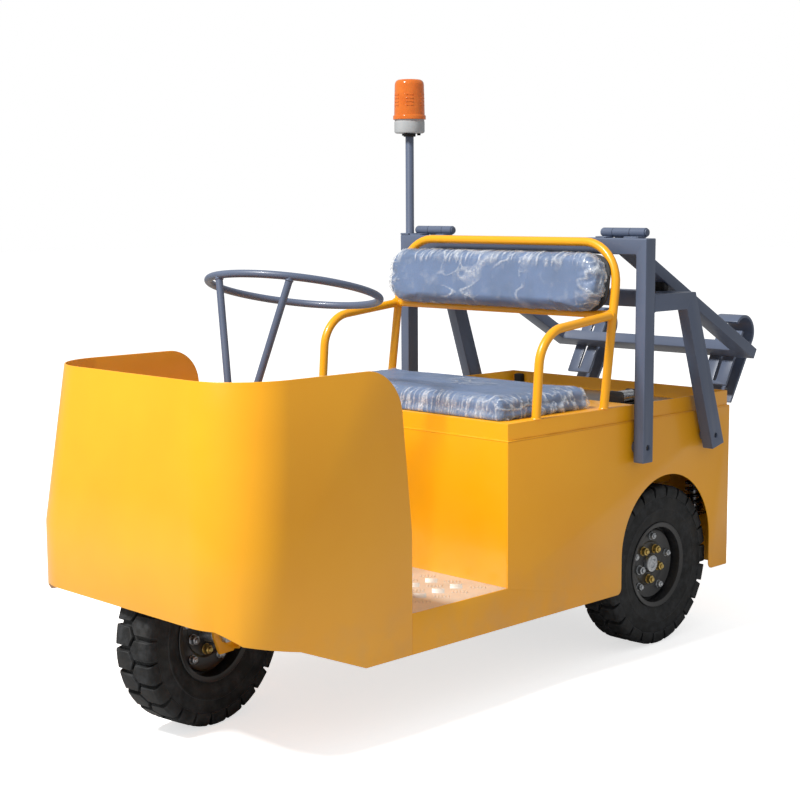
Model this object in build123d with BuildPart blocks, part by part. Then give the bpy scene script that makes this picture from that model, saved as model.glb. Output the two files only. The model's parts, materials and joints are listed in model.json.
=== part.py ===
"""Airport baggage tug: three-wheeled electric tow tractor with a rear lift-over hook frame.

Millimetres. X runs forward, Y to the driver's left, Z up. The origin is on the floor, below the
middle of the overall box. Stations along X are measured from the rear axle and placed by at().
"""
import os
from math import cos, hypot, pi, radians, sin, sqrt, tan

from build123d import *

os.makedirs("parts", exist_ok=True)

# ---------------------------------------------------------------- running gear
wheelbase = 1205.0
tyre_radius = 207.5
tyre_width = 106.0
rim_radius = 101.5
rim_lip = 9.0
rim_wall = 4.0
hub_radius = 38.0
hub_flange_radius = 58.0
hub_spigot_radius = 23.0
disc_y = 11.0
disc_thickness = 8.0
rear_track_half = 313.0
axle_tube_radius = 35.0
stub_radius = 17.0
shaft_play = 0.4
wheel_sides = 36
casing_sides = 24
lug_count = 24
lug_depth = 10.0
lug_gap = 10.0
lug_point = 11.0
sidewall_inset = 2.5
shoulder_drop = 19.5
round_sides = 24
tube_sides = 10
bore_sides = 16

# ---------------------------------------------------------------- body shell
sheet = 3.0
body_half_width = 382.0
skirt_z = 167.0
floor_z = 259.0
box_front_reach = 615.0
box_back_reach = 280.0
box_top_z = 639.0
rim_band = 42.0
rim_inset = 5.0
ledge_width = 32.0
arch_radius = 190.0
arch_centre_z = 256.0
arch_offset = -5.0
arch_foot_radius = 16.0
seat_board_back_reach = 135.0

# ---------------------------------------------------------------- cowl
cowl_reach = 1415.0
cowl_bend_z = 436.0
cowl_top_z = 790.0
cowl_taper = 6.0
cowl_corner_radius = 145.0
cowl_back_round = 95.0
cowl_nose_z = 296.0
bulkhead_clearance = 30.84
bulkhead_reach = wheelbase - hypot(tyre_radius, tyre_width / 2) - bulkhead_clearance
bulkhead_lap = 35.0
cowl_back_reach = bulkhead_reach - bulkhead_lap
shelf_z = 470.0

# ---------------------------------------------------------------- steering
ring_angle = 18.0
steering_ratio = 0.4
fork_angle = ring_angle * steering_ratio
column_reach = 1093.0
column_radius = 19.0
column_head_z = 628.0
ring_radius = 202.0
ring_tube_radius = 9.0
ring_setback = 256.0
ring_z = 937.0
ring_tilt = 13.6
strut_half_angle = 28.0
steering_box_height = 46.0
steering_box_width = 104.0
fork_gap = 13.0
fork_plate = 8.0
crown_z = 435.0
stem_radius = 25.0
axle_bolt_radius = 10.0

# ---------------------------------------------------------------- portal and stays
portal_tube = 40.0
portal_tube_width = 30.0
spacer_length = 10.0
portal_reach = 136.0
portal_foot_z = 497.0
portal_top_z = 1050.0
side_bar_z = 870.0
side_bar_height = 42.0
stay_top_reach = -31.0
stay_foot_reach = -170.0
stay_foot_z = 500.0
stay_depth = 50.0
mount_hole_radius = 7.0

# ---------------------------------------------------------------- lift frame
hinge_reach = 115.0
barrel_radius = 11.5
hinge_leaf = 4.0
pin_radius = 6.0
knuckle_split = (260.0, 294.0, 346.0, 392.0)
knuckle_gap = 1.0
lift_slope = 28.6
arm_centre_y = 320.0
arm_width = 50.0
arm_depth = 30.0
arm_start = 28.0
arm_end = 668.0
hook_inner_y = 200.0
hook_width = 80.0
hook_plate = 8.0
hook_front_drop = 125.0
hook_rear_drop = 157.0
hook_rear_taper = 9.0
curl_radius = 50.0
curl_sides = 32
curl_centre = (681.0, 40.0)
slot_width = 10.0

# ---------------------------------------------------------------- seat
seat_tube_radius = 11.0
seat_half_width = 370.0
hoop_foot_reach = 249.0
hoop_lean = 8.0
hoop_top_z = 1041.0
hoop_bend = 108.0
back_rail_z = 866.0
arm_foot_reach = 503.0
arm_corner_reach = 488.0
arm_corner_z = 838.0
arm_bend = 88.0
cushion_back_reach = 262.0
cushion_front_reach = 601.0
cushion_half_width = 346.0
cushion_height = 54.0
backrest_height = 150.0
backrest_thickness = 55.0
backrest_board = 6.0
soft_gap = 0.3

# ---------------------------------------------------------------- beacon
beacon_offset = 22.0
beacon_y = -(body_half_width + beacon_offset)
pole_radius = 11.5
beacon_base_z = 1330.0
beacon_dome_z = 1368.0
beacon_top_z = 1477.0
beacon_base_radius = 42.0
beacon_dome_radius = 45.5

# ---------------------------------------------------------------- frame and drive
rail_half_spacing = 235.0
rail_width = 40.0
rail_depth = 50.0
rail_high_z = 390.0
rail_end_reach = -(box_back_reach - 85.0)
kick_front_reach = 330.0
kick_back_reach = 235.0
kick_half = 14.0
cross_tube = 40.0
spring_reach = -(box_back_reach - 37.0)
spring_y = 300.0
spring_radius = 25.0
spring_sides = 10
spring_foot_z = 312.0
hitch_z = 300.0
hitch_bore = 26.0


def lift_dir():
    """Direction along the lift arms, from the hinge towards the hooks."""
    return (-cos(radians(lift_slope)), 0.0, -sin(radians(lift_slope)))


curl_back = (
    hinge_reach
    - curl_centre[0] * cos(radians(lift_slope))
    - curl_centre[1] * sin(radians(lift_slope))
    - curl_radius
)
middle = (cowl_reach + curl_back) / 2
portal_outer_y = body_half_width + spacer_length + portal_tube_width
middle_y = (portal_outer_y + beacon_y - beacon_dome_radius) / 2


def at(reach):
    """X of a station given from the rear axle."""
    return reach - middle


def side(y):
    """Plane at a given y, its local axes along X and Z."""
    return Plane(origin=(0, y, 0), x_dir=(1, 0, 0), z_dir=(0, -1, 0))


def across(x):
    """Plane at a given x, its local axes along Y and Z."""
    return Plane(origin=(x, 0, 0), x_dir=(0, 1, 0), z_dir=(1, 0, 0))


def level(z):
    """Plane at a given height."""
    return Plane.XY.offset(z)


def save(builder, name):
    """Write one piece, moved so that the middle of the overall box is at y = 0."""
    piece = builder.part.moved(Location((0, -middle_y, 0)))
    piece.label = name
    export_step(piece, f"parts/{name}.step")


SIDES = (("left", 1), ("right", -1))

# ================================================================ chassis frame
rail_low_top = floor_z - sheet
rail_front = at(bulkhead_reach) - sheet
with BuildPart() as chassis_frame:
    for _, s in SIDES:
        with BuildSketch(side(s * rail_half_spacing)):
            with BuildLine():
                Polyline(
                    (rail_front, rail_low_top),
                    (at(kick_front_reach) + kick_half, rail_low_top),
                    (at(kick_back_reach) + kick_half, rail_high_z + rail_depth),
                    (at(rail_end_reach), rail_high_z + rail_depth),
                    (at(rail_end_reach), rail_high_z),
                    (at(kick_back_reach) - kick_half, rail_high_z),
                    (at(kick_front_reach) - kick_half, rail_low_top - rail_depth),
                    (rail_front, rail_low_top - rail_depth),
                    close=True,
                )
            make_face()
        extrude(amount=rail_width / 2, both=True)
        # spring hanger: a plate from the rail to the rear wall, over the spring
        hanger_front = at(spring_reach) + spring_radius + 12
        hanger_back = at(-box_back_reach) + sheet
        hanger_in = rail_half_spacing - rail_width / 2
        hanger_out = spring_y + spring_radius + 8
        with BuildSketch(level(rail_high_z + rail_depth - 8)):
            with Locations((
                (hanger_front + 25 + hanger_back) / 2,
                s * (hanger_in + hanger_out) / 2,
            )):
                Rectangle(hanger_front + 25 - hanger_back, hanger_out - hanger_in)
        extrude(amount=8)
    # cross tubes: reach from the rear axle, top face
    for reach, top in (
        (bulkhead_reach - 30, rail_low_top),
        (box_front_reach - 20, rail_low_top),
        (rail_end_reach + 25, rail_high_z + cross_tube),
    ):
        with BuildSketch(side(0)):
            with Locations((at(reach), top - cross_tube / 2)):
                Rectangle(cross_tube, cross_tube)
        extrude(amount=rail_half_spacing - rail_width / 2, both=True)
save(chassis_frame, "chassis_frame")

# ================================================================ floor plate
floor_back_reach = 250.0
floor_notch_reach = kick_front_reach + kick_half + 6
floor_front_reach = bulkhead_reach - sheet
with BuildPart() as floor_plate:
    with BuildSketch(level(floor_z - sheet)):
        with Locations((at((floor_front_reach + floor_notch_reach) / 2), 0)):
            Rectangle(floor_front_reach - floor_notch_reach, 2 * (body_half_width - sheet))
        with Locations((at((floor_notch_reach + floor_back_reach) / 2), 0)):
            Rectangle(
                floor_notch_reach - floor_back_reach,
                2 * rail_half_spacing - rail_width - 2,
            )
    extrude(amount=sheet)
save(floor_plate, "floor_plate")

# ================================================================ side panels
panel_top = box_top_z - rim_band
for name, s in SIDES:
    with BuildPart() as side_panel:
        with BuildSketch(side(s * (body_half_width - sheet / 2))):
            with BuildLine():
                Polyline(
                    (at(cowl_back_reach), skirt_z),
                    (at(cowl_back_reach), floor_z),
                    (at(box_front_reach), floor_z),
                    (at(box_front_reach), panel_top),
                    (at(-box_back_reach), panel_top),
                    (at(-box_back_reach), skirt_z),
                    close=True,
                )
            make_face()
            with Locations((at(arch_offset), arch_centre_z)):
                Circle(arch_radius, mode=Mode.SUBTRACT)
            with Locations((at(arch_offset), (arch_centre_z + skirt_z) / 2)):
                Rectangle(2 * arch_radius, arch_centre_z - skirt_z, mode=Mode.SUBTRACT)
        extrude(amount=sheet / 2, both=True)
        arch_feet = (
            side_panel.edges()
            .filter_by(Axis.Y)
            .filter_by_position(Axis.Z, skirt_z - 1, skirt_z + 1)
            .filter_by_position(
                Axis.X, at(arch_offset - arch_radius) - 1, at(arch_offset + arch_radius) + 1
            )
        )
        fillet(arch_feet, arch_foot_radius)
    save(side_panel, f"side_panel_{name}")

# ================================================================ box ends
with BuildPart() as box_front:
    with BuildSketch(across(at(box_front_reach) - sheet)):
        with Locations((0, (floor_z + panel_top) / 2)):
            Rectangle(2 * (body_half_width - sheet), panel_top - floor_z)
    extrude(amount=sheet)
save(box_front, "box_front_panel")

with BuildPart() as box_rear:
    with BuildSketch(across(at(-box_back_reach))):
        with Locations((0, (skirt_z + panel_top) / 2)):
            Rectangle(2 * (body_half_width - sheet), panel_top - skirt_z)
    extrude(amount=sheet)
save(box_rear, "box_rear_panel")

# ================================================================ rim of the box
box_length = box_front_reach + box_back_reach
box_mid = at((box_front_reach - box_back_reach) / 2)
with BuildPart() as box_rim:
    with BuildSketch(level(panel_top)):
        with Locations((box_mid, 0)):
            Rectangle(box_length, 2 * body_half_width)
            Rectangle(
                box_length - 2 * ledge_width,
                2 * (body_half_width - ledge_width),
                mode=Mode.SUBTRACT,
            )
    extrude(amount=sheet)
    with BuildSketch(level(panel_top)):
        with Locations((box_mid, 0)):
            Rectangle(box_length - 2 * rim_inset, 2 * (body_half_width - rim_inset))
            Rectangle(
                box_length - 2 * (rim_inset + sheet),
                2 * (body_half_width - rim_inset - sheet),
                mode=Mode.SUBTRACT,
            )
    extrude(amount=rim_band)
save(box_rim, "box_rim")

inner_half = body_half_width - rim_inset - sheet
inner_front = at(box_front_reach) - rim_inset - sheet
inner_back = at(-box_back_reach) + rim_inset + sheet
board_back = at(seat_board_back_reach)

with BuildPart() as seat_board:
    with BuildSketch(side(0)):
        with BuildLine():
            Polyline(
                (inner_front, box_top_z),
                (board_back, box_top_z),
                (board_back, panel_top + sheet),
                (board_back + sheet, panel_top + sheet),
                (board_back + sheet, box_top_z - sheet),
                (inner_front, box_top_z - sheet),
                close=True,
            )
        make_face()
    extrude(amount=inner_half, both=True)
save(seat_board, "seat_board")

with BuildPart() as deck_plate:
    with BuildSketch(level(panel_top + sheet)):
        with Locations(((inner_back + board_back) / 2, 0)):
            Rectangle(board_back - inner_back, 2 * inner_half)
    extrude(amount=sheet)
save(deck_plate, "deck_plate")

# ================================================================ cowl
taper = tan(radians(cowl_taper))


def cowl_plan(half_width, front, corner, back):
    """U-shaped plan, square at the back and round at the two front corners."""
    with BuildSketch() as plan:
        with BuildLine():
            FilletPolyline(
                (back, half_width), (front, half_width),
                (front, -half_width), (back, -half_width),
                radius=corner,
            )
            Line((back, -half_width), (back, half_width))
        make_face()
    return plan.sketch


def cowl_section(z, inset):
    """Plan values of the cowl at a height, moved in by inset."""
    pull = max(0.0, z - cowl_bend_z) * taper + inset
    return body_half_width - pull, at(cowl_reach) - pull, cowl_corner_radius - inset


cut_back = 20.0
with BuildPart() as cowl:
    for inset, mode in ((0.0, Mode.ADD), (sheet, Mode.SUBTRACT)):
        back = at(cowl_back_reach) - (cut_back if inset else 0)
        overrun = cut_back if inset else 0
        with BuildSketch(level(skirt_z - overrun)):
            add(cowl_plan(*cowl_section(skirt_z, inset), back))
        extrude(amount=cowl_bend_z - skirt_z + overrun, mode=mode)
        for z in (cowl_bend_z, cowl_top_z + overrun):
            with BuildSketch(level(z)):
                add(cowl_plan(*cowl_section(z, inset), back))
        loft(mode=mode)
    # side outline: raked skirt below the nose and a rounded shoulder at the back
    with BuildSketch(side(0)):
        with BuildLine():
            back, nose = at(cowl_back_reach), at(cowl_reach) + 10
            low = Polyline(
                (back, cowl_top_z - cowl_back_round),
                (back, skirt_z),
                (at(wheelbase - 142), skirt_z),
                (at(wheelbase + 40), cowl_nose_z - 56),
                (at(cowl_reach - 50), cowl_nose_z - 28),
                (at(cowl_reach - 15), cowl_nose_z),
                (nose, cowl_nose_z),
                (nose, cowl_top_z),
                (back + cowl_back_round, cowl_top_z),
            )
            RadiusArc(low @ 0, low @ 1, cowl_back_round)
        make_face()
    extrude(amount=body_half_width + 10, both=True, mode=Mode.INTERSECT)
save(cowl, "cowl")

# ================================================================ wheel box inside the cowl
shelf_half, shelf_front, shelf_corner = cowl_section(shelf_z, sheet + soft_gap)
with BuildPart() as wheel_box:
    with BuildSketch(level(shelf_z - sheet)):
        add(cowl_plan(shelf_half, shelf_front, shelf_corner, at(bulkhead_reach) - sheet))
        with Locations((at(wheelbase), 0)):
            RegularPolygon(stem_radius + 2, round_sides, major_radius=False, mode=Mode.SUBTRACT)
    extrude(amount=sheet)
    with BuildSketch(across(at(bulkhead_reach) - sheet)):
        with Locations((0, (floor_z + shelf_z) / 2)):
            Rectangle(2 * shelf_half, shelf_z - floor_z)
    extrude(amount=sheet)
save(wheel_box, "wheel_box")

# ================================================================ steering head and gearbox
bearing_radius = stem_radius + 20
with BuildPart() as head_bearing:
    with BuildSketch(level(crown_z + 0.5)):
        with Locations((at(wheelbase), 0)):
            RegularPolygon(bearing_radius, round_sides)
            RegularPolygon(
                stem_radius + shaft_play, round_sides, major_radius=False, mode=Mode.SUBTRACT
            )
    extrude(amount=shelf_z - sheet - crown_z - 0.5)
save(head_bearing, "head_bearing")

boss_height = 16.0
boss_radius = column_radius + 12
spigot_radius = column_radius - 4
with BuildPart() as steering_box:
    with BuildSketch(level(shelf_z)):
        with Locations((at((wheelbase + column_reach) / 2), 0)):
            Rectangle(wheelbase - column_reach, steering_box_width)
        with Locations((at(wheelbase), 0), (at(column_reach), 0)):
            RegularPolygon(steering_box_width / 2, round_sides)
    extrude(amount=steering_box_height)
    chamfer(steering_box.faces().sort_by(Axis.Z)[-1].edges(), 6)
    with BuildSketch(level(shelf_z + steering_box_height)):
        with Locations((at(column_reach), 0)):
            RegularPolygon(boss_radius, round_sides)
    extrude(amount=boss_height)
    with BuildSketch(level(shelf_z + steering_box_height)):
        with Locations((at(column_reach), 0)):
            RegularPolygon(spigot_radius + shaft_play, round_sides, major_radius=False)
    extrude(amount=boss_height, mode=Mode.SUBTRACT)
save(steering_box, "steering_box")

# ================================================================ handlebar ring and column
box_top = shelf_z + steering_box_height
column_foot = box_top + boss_height + 0.5
ring_turn = radians(ring_angle)
column_frame = Plane(
    origin=(at(column_reach), 0, 0),
    x_dir=(cos(ring_turn), sin(ring_turn), 0),
    z_dir=(0, 0, 1),
)
head_block = (46.0, 54.0, 34.0)
with BuildPart() as column:
    with BuildSketch(column_frame.offset(box_top + 0.5)):
        RegularPolygon(spigot_radius, round_sides)
    extrude(amount=boss_height)
    with BuildSketch(column_frame.offset(column_foot)):
        RegularPolygon(column_radius, round_sides)
    extrude(amount=column_head_z - column_foot)
    with BuildSketch(column_frame.offset(column_head_z - head_block[2])):
        RectangleRounded(head_block[0], head_block[1], 6)
    extrude(amount=head_block[2])
save(column, "steering_column")

ring_centre = column_frame.from_local_coords(Vector(-ring_setback, 0, ring_z))
ring_normal = column_frame.from_local_coords(
    Vector(-sin(radians(ring_tilt)), 0, cos(radians(ring_tilt)))
) - column_frame.from_local_coords(Vector(0, 0, 0))
ring_forward = column_frame.from_local_coords(
    Vector(cos(radians(ring_tilt)), 0, sin(radians(ring_tilt)))
) - column_frame.from_local_coords(Vector(0, 0, 0))
ring_frame = Plane(origin=ring_centre, x_dir=ring_forward, z_dir=ring_normal)
ring_half_flat = ring_tube_radius * sin(radians(22.5))
ring_half_high = ring_tube_radius * cos(radians(22.5))
# eight-sided tube: height and half width of its section, from below to above
ring_steps = (
    (-ring_half_high, ring_half_flat),
    (-ring_half_flat, ring_half_high),
    (ring_half_flat, ring_half_high),
    (ring_half_high, ring_half_flat),
)
with BuildPart() as ring:
    for sign, mode in ((1, Mode.ADD), (-1, Mode.SUBTRACT)):
        for (z0, half0), (z1, half1) in zip(ring_steps, ring_steps[1:]):
            with BuildSketch(ring_frame.offset(z0)):
                RegularPolygon(ring_radius + sign * half0, wheel_sides)
            with BuildSketch(ring_frame.offset(z1)):
                RegularPolygon(ring_radius + sign * half1, wheel_sides)
            loft(ruled=True, mode=mode)
    for _, s in SIDES:
        angle = radians(strut_half_angle)
        top = ring_frame.from_local_coords(
            Vector(ring_radius * cos(angle), s * ring_radius * sin(angle), 0)
        )
        foot = column_frame.from_local_coords(Vector(0, s * 12, column_head_z))
        with BuildSketch(Plane(origin=foot, z_dir=top - foot)):
            RegularPolygon(ring_tube_radius - 0.5, tube_sides)
        extrude(amount=(top - foot).length)
    split(bisect_by=column_frame.offset(column_head_z), keep=Keep.TOP)
save(ring, "steering_ring")

# ================================================================ front fork
fork_turn = radians(fork_angle)
fork_x = Vector(cos(fork_turn), sin(fork_turn), 0)
fork_y = Vector(-sin(fork_turn), cos(fork_turn), 0)
fork_origin = Vector(at(wheelbase), 0, 0)


def fork_level(z):
    return Plane(origin=fork_origin + Vector(0, 0, z), x_dir=fork_x, z_dir=(0, 0, 1))


def fork_side(y):
    """Plane parallel to the front wheel, y to its left."""
    return Plane(origin=fork_origin + fork_y * y, x_dir=fork_x, z_dir=-fork_y)


leg_y = tyre_width / 2 + fork_gap + fork_plate / 2
axle_z = tyre_radius
with BuildPart() as fork:
    with BuildSketch(fork_level(crown_z - fork_plate)):
        with Locations((-20, 0)):
            Rectangle(150, 2 * leg_y + fork_plate)
    extrude(amount=fork_plate)
    with BuildSketch(fork_level(crown_z)):
        RegularPolygon(stem_radius, round_sides)
    extrude(amount=shelf_z - sheet - crown_z - 1)
    for _, s in SIDES:
        with BuildSketch(fork_side(s * leg_y)):
            with BuildLine():
                Polyline(
                    (-95, crown_z - fork_plate),
                    (55, crown_z - fork_plate),
                    (32, axle_z),
                    (14, axle_z - 42),
                    (-26, axle_z - 42),
                    (-95, axle_z + 30),
                    close=True,
                )
            make_face()
            with Locations((0, axle_z)):
                RegularPolygon(
                    axle_bolt_radius + shaft_play, bore_sides, major_radius=False,
                    mode=Mode.SUBTRACT,
                )
        extrude(amount=fork_plate / 2, both=True)
save(fork, "front_fork")

bolt_half = leg_y + fork_plate / 2
nut_length = 12.0
with BuildPart() as front_axle:
    with BuildSketch(fork_side(0)):
        with Locations((0, axle_z)):
            RegularPolygon(axle_bolt_radius, bore_sides)
    extrude(amount=bolt_half + nut_length, both=True)
    for _, s in SIDES:
        with BuildSketch(fork_side(s * (bolt_half + soft_gap + nut_length / 2 - soft_gap))):
            with Locations((0, axle_z)):
                RegularPolygon(17, 6)
        extrude(amount=nut_length / 2 - soft_gap, both=True)
save(front_axle, "front_axle")


# ================================================================ wheels
wheel_places = (
    # name, centre, direction of the axle away from the machine
    ("front", fork_origin + Vector(0, 0, axle_z), fork_y),
    ("rear_left", Vector(at(0), rear_track_half, axle_z), Vector(0, 1, 0)),
    ("rear_right", Vector(at(0), -rear_track_half, axle_z), Vector(0, -1, 0)),
)
half_tyre = tyre_width / 2
bead_y = half_tyre - 14
axle_end_y = rear_track_half - half_tyre - 14
hub_outer = 30.0
hub_inner = axle_end_y + 5 - rear_track_half
sidewall_y = half_tyre - sidewall_inset
tread_base = tyre_radius - lug_depth
lug_half = pi * tyre_radius / lug_count - lug_gap / 2
lug_top = sqrt(tyre_radius**2 - lug_half**2)
# half the casing's outside: distance from the middle, radius, from the tread's edge down
casing_steps = ((half_tyre - 13, tread_base), (sidewall_y, tread_base - shoulder_drop))
# side of a lug: distance from the middle, radius, from the foot round its top to the shoulder
lug_steps = (
    (-lug_point, tread_base - 6),
    (-lug_point, lug_top),
    (half_tyre - 7, lug_top),
    (half_tyre, lug_top - 14),
    (half_tyre, tread_base - shoulder_drop + 2),
    (sidewall_y - 1, tread_base - shoulder_drop - 2),
    (half_tyre - 13, tread_base - 8),
)
with BuildPart() as lug:
    with BuildSketch(Plane.YZ):
        with BuildLine():
            Polyline(*[(radius, y) for y, radius in lug_steps], close=True)
        make_face()
    extrude(amount=lug_half, both=True)
    # each lug is pointed towards the middle groove
    with BuildSketch(Plane.XZ):
        with BuildLine():
            Polyline(
                (0, lug_gap / 2 + 1 - lug_point), (lug_half, lug_gap / 2 + 1),
                (lug_half, half_tyre), (-lug_half, half_tyre), (-lug_half, lug_gap / 2 + 1),
                close=True,
            )
        make_face()
    extrude(amount=-tyre_radius, mode=Mode.INTERSECT)

with BuildPart() as casing:
    with BuildSketch(Plane.XY):
        RegularPolygon(tread_base, casing_sides)
    extrude(amount=casing_steps[0][0], both=True)
    for sign in (1, -1):
        for y, radius in casing_steps:
            with BuildSketch(Plane.XY.offset(sign * y)):
                RegularPolygon(radius, casing_sides)
        loft(ruled=True)
        # dished sidewall, from the bead out to its widest
        for y, radius in ((bead_y, rim_radius + rim_lip), (sidewall_y, rim_radius + 46)):
            with BuildSketch(Plane.XY.offset(sign * y)):
                RegularPolygon(radius, wheel_sides)
        loft(ruled=True, mode=Mode.SUBTRACT)
    with BuildSketch(Plane.XY):
        RegularPolygon(rim_radius, wheel_sides)
    extrude(amount=half_tyre, both=True, mode=Mode.SUBTRACT)
    # two rows, the second turned by half a lug
    add([
        lug.part.rotate(Axis.X, flip).rotate(Axis.Z, (k + turn) * 360 / lug_count)
        for flip, turn in ((0, 0.5), (180, 0)) for k in range(lug_count)
    ])

for name, centre, out in wheel_places:
    up = Vector(0, 0, 1)
    face = Plane(origin=centre, x_dir=up.cross(out), z_dir=out)
    with BuildPart() as tyre:
        add(casing.part.moved(face.location))
    save(tyre, f"{name}_tyre")

    barrel_inner = rim_radius - rim_wall
    with BuildPart() as rim:
        with BuildSketch(face.offset(-bead_y - rim_wall)):
            RegularPolygon(rim_radius, wheel_sides)
        extrude(amount=2 * (bead_y + rim_wall))
        for y in (-bead_y - rim_wall, bead_y):
            with BuildSketch(face.offset(y)):
                RegularPolygon(rim_radius + rim_lip, wheel_sides)
            extrude(amount=rim_wall)
        for y0, y1 in (
            (-bead_y - rim_wall, disc_y),
            (disc_y + disc_thickness, bead_y + rim_wall),
        ):
            with BuildSketch(face.offset(y0)):
                RegularPolygon(barrel_inner, wheel_sides)
            extrude(amount=y1 - y0, mode=Mode.SUBTRACT)
        with BuildSketch(face.offset(disc_y)):
            RegularPolygon(hub_spigot_radius + soft_gap, round_sides, major_radius=False)
        extrude(amount=disc_thickness, mode=Mode.SUBTRACT)
    save(rim, f"{name}_rim")

    bore = axle_bolt_radius if name == "front" else stub_radius
    length_in = -(half_tyre + 5) if name == "front" else hub_inner
    length_out = half_tyre + 5 if name == "front" else hub_outer
    cap = 0 if name == "front" else 12
    with BuildPart() as hub:
        with BuildSketch(face.offset(length_in)):
            RegularPolygon(hub_radius, round_sides)
        extrude(amount=disc_y - length_in)
        with BuildSketch(face.offset(disc_y - 8)):
            RegularPolygon(hub_flange_radius, round_sides)
        extrude(amount=8)
        with BuildSketch(face.offset(disc_y)):
            RegularPolygon(hub_spigot_radius, round_sides)
        extrude(amount=length_out - disc_y)
        with BuildSketch(face.offset(length_in)):
            RegularPolygon(bore + shaft_play, bore_sides, major_radius=False)
        extrude(amount=length_out - length_in - cap, mode=Mode.SUBTRACT)
    save(hub, f"{name}_hub")

# ================================================================ rear axle and springs
diff_radius = 72.0
diff_half = 62.0
arm_plate = 10.0
seat_z = spring_foot_z - 6
with BuildPart() as rear_axle:
    with BuildSketch(side(0)):
        with Locations((at(0), axle_z)):
            RegularPolygon(axle_tube_radius, round_sides)
    extrude(amount=axle_end_y, both=True)
    with BuildSketch(side(0)):
        with Locations((at(0), axle_z)):
            RegularPolygon(diff_radius, round_sides)
    extrude(amount=diff_half, both=True)
    with BuildSketch(side(0)):
        with Locations((at(0), axle_z)):
            RegularPolygon(stub_radius, bore_sides)
    extrude(amount=rear_track_half + hub_outer - 13, both=True)
save(rear_axle, "rear_axle")

with BuildPart() as trailing_arms:
    for _, s in SIDES:
        with BuildSketch(side(s * rail_half_spacing)):
            with BuildLine():
                Polyline(
                    (at(44), axle_z - 22), (at(44), axle_z + 44), (at(-90), axle_z + 44),
                    (at(spring_reach), seat_z), (at(spring_reach - 26), seat_z),
                    (at(spring_reach - 26), seat_z - 14), (at(spring_reach), seat_z - 30),
                    (at(-90), axle_z - 16), (at(-38), axle_z - 44), (at(20), axle_z - 44),
                    close=True,
                )
            make_face()
            with Locations((at(0), axle_z)):
                RegularPolygon(axle_tube_radius, round_sides, mode=Mode.SUBTRACT)
        extrude(amount=arm_plate / 2, both=True)
        seat_in = rail_half_spacing - arm_plate / 2
        seat_out = spring_y + spring_radius
        with BuildSketch(level(seat_z - 6)):
            with Locations((at(spring_reach), s * (seat_in + seat_out) / 2)):
                Rectangle(2 * spring_radius + 2, seat_out - seat_in)
        extrude(amount=6)
save(trailing_arms, "trailing_arms")

motor_radius = 68.0
with BuildPart() as drive_motor:
    with BuildSketch(across(at(diff_radius - 6))):
        with Locations((0, axle_z)):
            RegularPolygon(motor_radius - 18, round_sides)
    extrude(amount=24)
    with BuildSketch(across(at(diff_radius + 18))):
        with Locations((0, axle_z)):
            RegularPolygon(motor_radius, round_sides)
    extrude(amount=150)
    with BuildSketch(side(0)):
        with Locations((at(0), axle_z)):
            RegularPolygon(diff_radius, round_sides)
    extrude(amount=diff_half, both=True, mode=Mode.SUBTRACT)
save(drive_motor, "drive_motor")

hanger_z = rail_high_z + rail_depth - 8
coil_count = 6
spring_height = hanger_z - seat_z
coil_pitch = spring_height / coil_count
coil_thickness = coil_pitch * 0.45
for name, s in SIDES:
    with BuildPart() as spring:
        with BuildSketch(level(seat_z)):
            with Locations((at(spring_reach), s * spring_y)):
                RegularPolygon(spring_radius - 6, spring_sides)
        extrude(amount=spring_height)
        for turn in range(coil_count):
            with BuildSketch(level(seat_z + (turn + 0.5) * coil_pitch - coil_thickness / 2)):
                with Locations((at(spring_reach), s * spring_y)):
                    RegularPolygon(spring_radius, spring_sides)
            extrude(amount=coil_thickness)
    save(spring, f"spring_{name}")

# ================================================================ battery
battery_back_reach = floor_back_reach + 5
battery_front_reach = box_front_reach - 30
battery_height = 310.0
battery_half_width = 205.0
with BuildPart() as battery:
    with BuildSketch(level(floor_z)):
        with Locations((at((battery_back_reach + battery_front_reach) / 2), 0)):
            Rectangle(battery_front_reach - battery_back_reach, 2 * battery_half_width)
    extrude(amount=battery_height)
save(battery, "battery")

# ================================================================ portal frame
post_y = body_half_width + spacer_length + portal_tube_width / 2
hole_z = portal_foot_z + 38
with BuildPart() as portal:
    for _, s in SIDES:
        with BuildSketch(side(s * post_y)):
            with Locations((at(portal_reach), (portal_foot_z + portal_top_z) / 2)):
                Rectangle(portal_tube, portal_top_z - portal_foot_z)
        extrude(amount=portal_tube_width / 2, both=True)
        with BuildSketch(side(s * (body_half_width + spacer_length / 2))):
            with Locations((at(portal_reach), hole_z)):
                RegularPolygon(portal_tube / 2 - 3, 16)
        extrude(amount=spacer_length / 2, both=True)
        with BuildSketch(side(s * post_y)):
            with Locations((at(portal_reach), hole_z)):
                RegularPolygon(mount_hole_radius, 12, major_radius=False)
        extrude(amount=portal_tube_width / 2, both=True, mode=Mode.SUBTRACT)
    with BuildSketch(side(0)):
        with Locations((at(portal_reach), portal_top_z - portal_tube / 2)):
            Rectangle(portal_tube, portal_tube)
    extrude(amount=post_y, both=True)
save(portal, "portal_frame")

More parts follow.
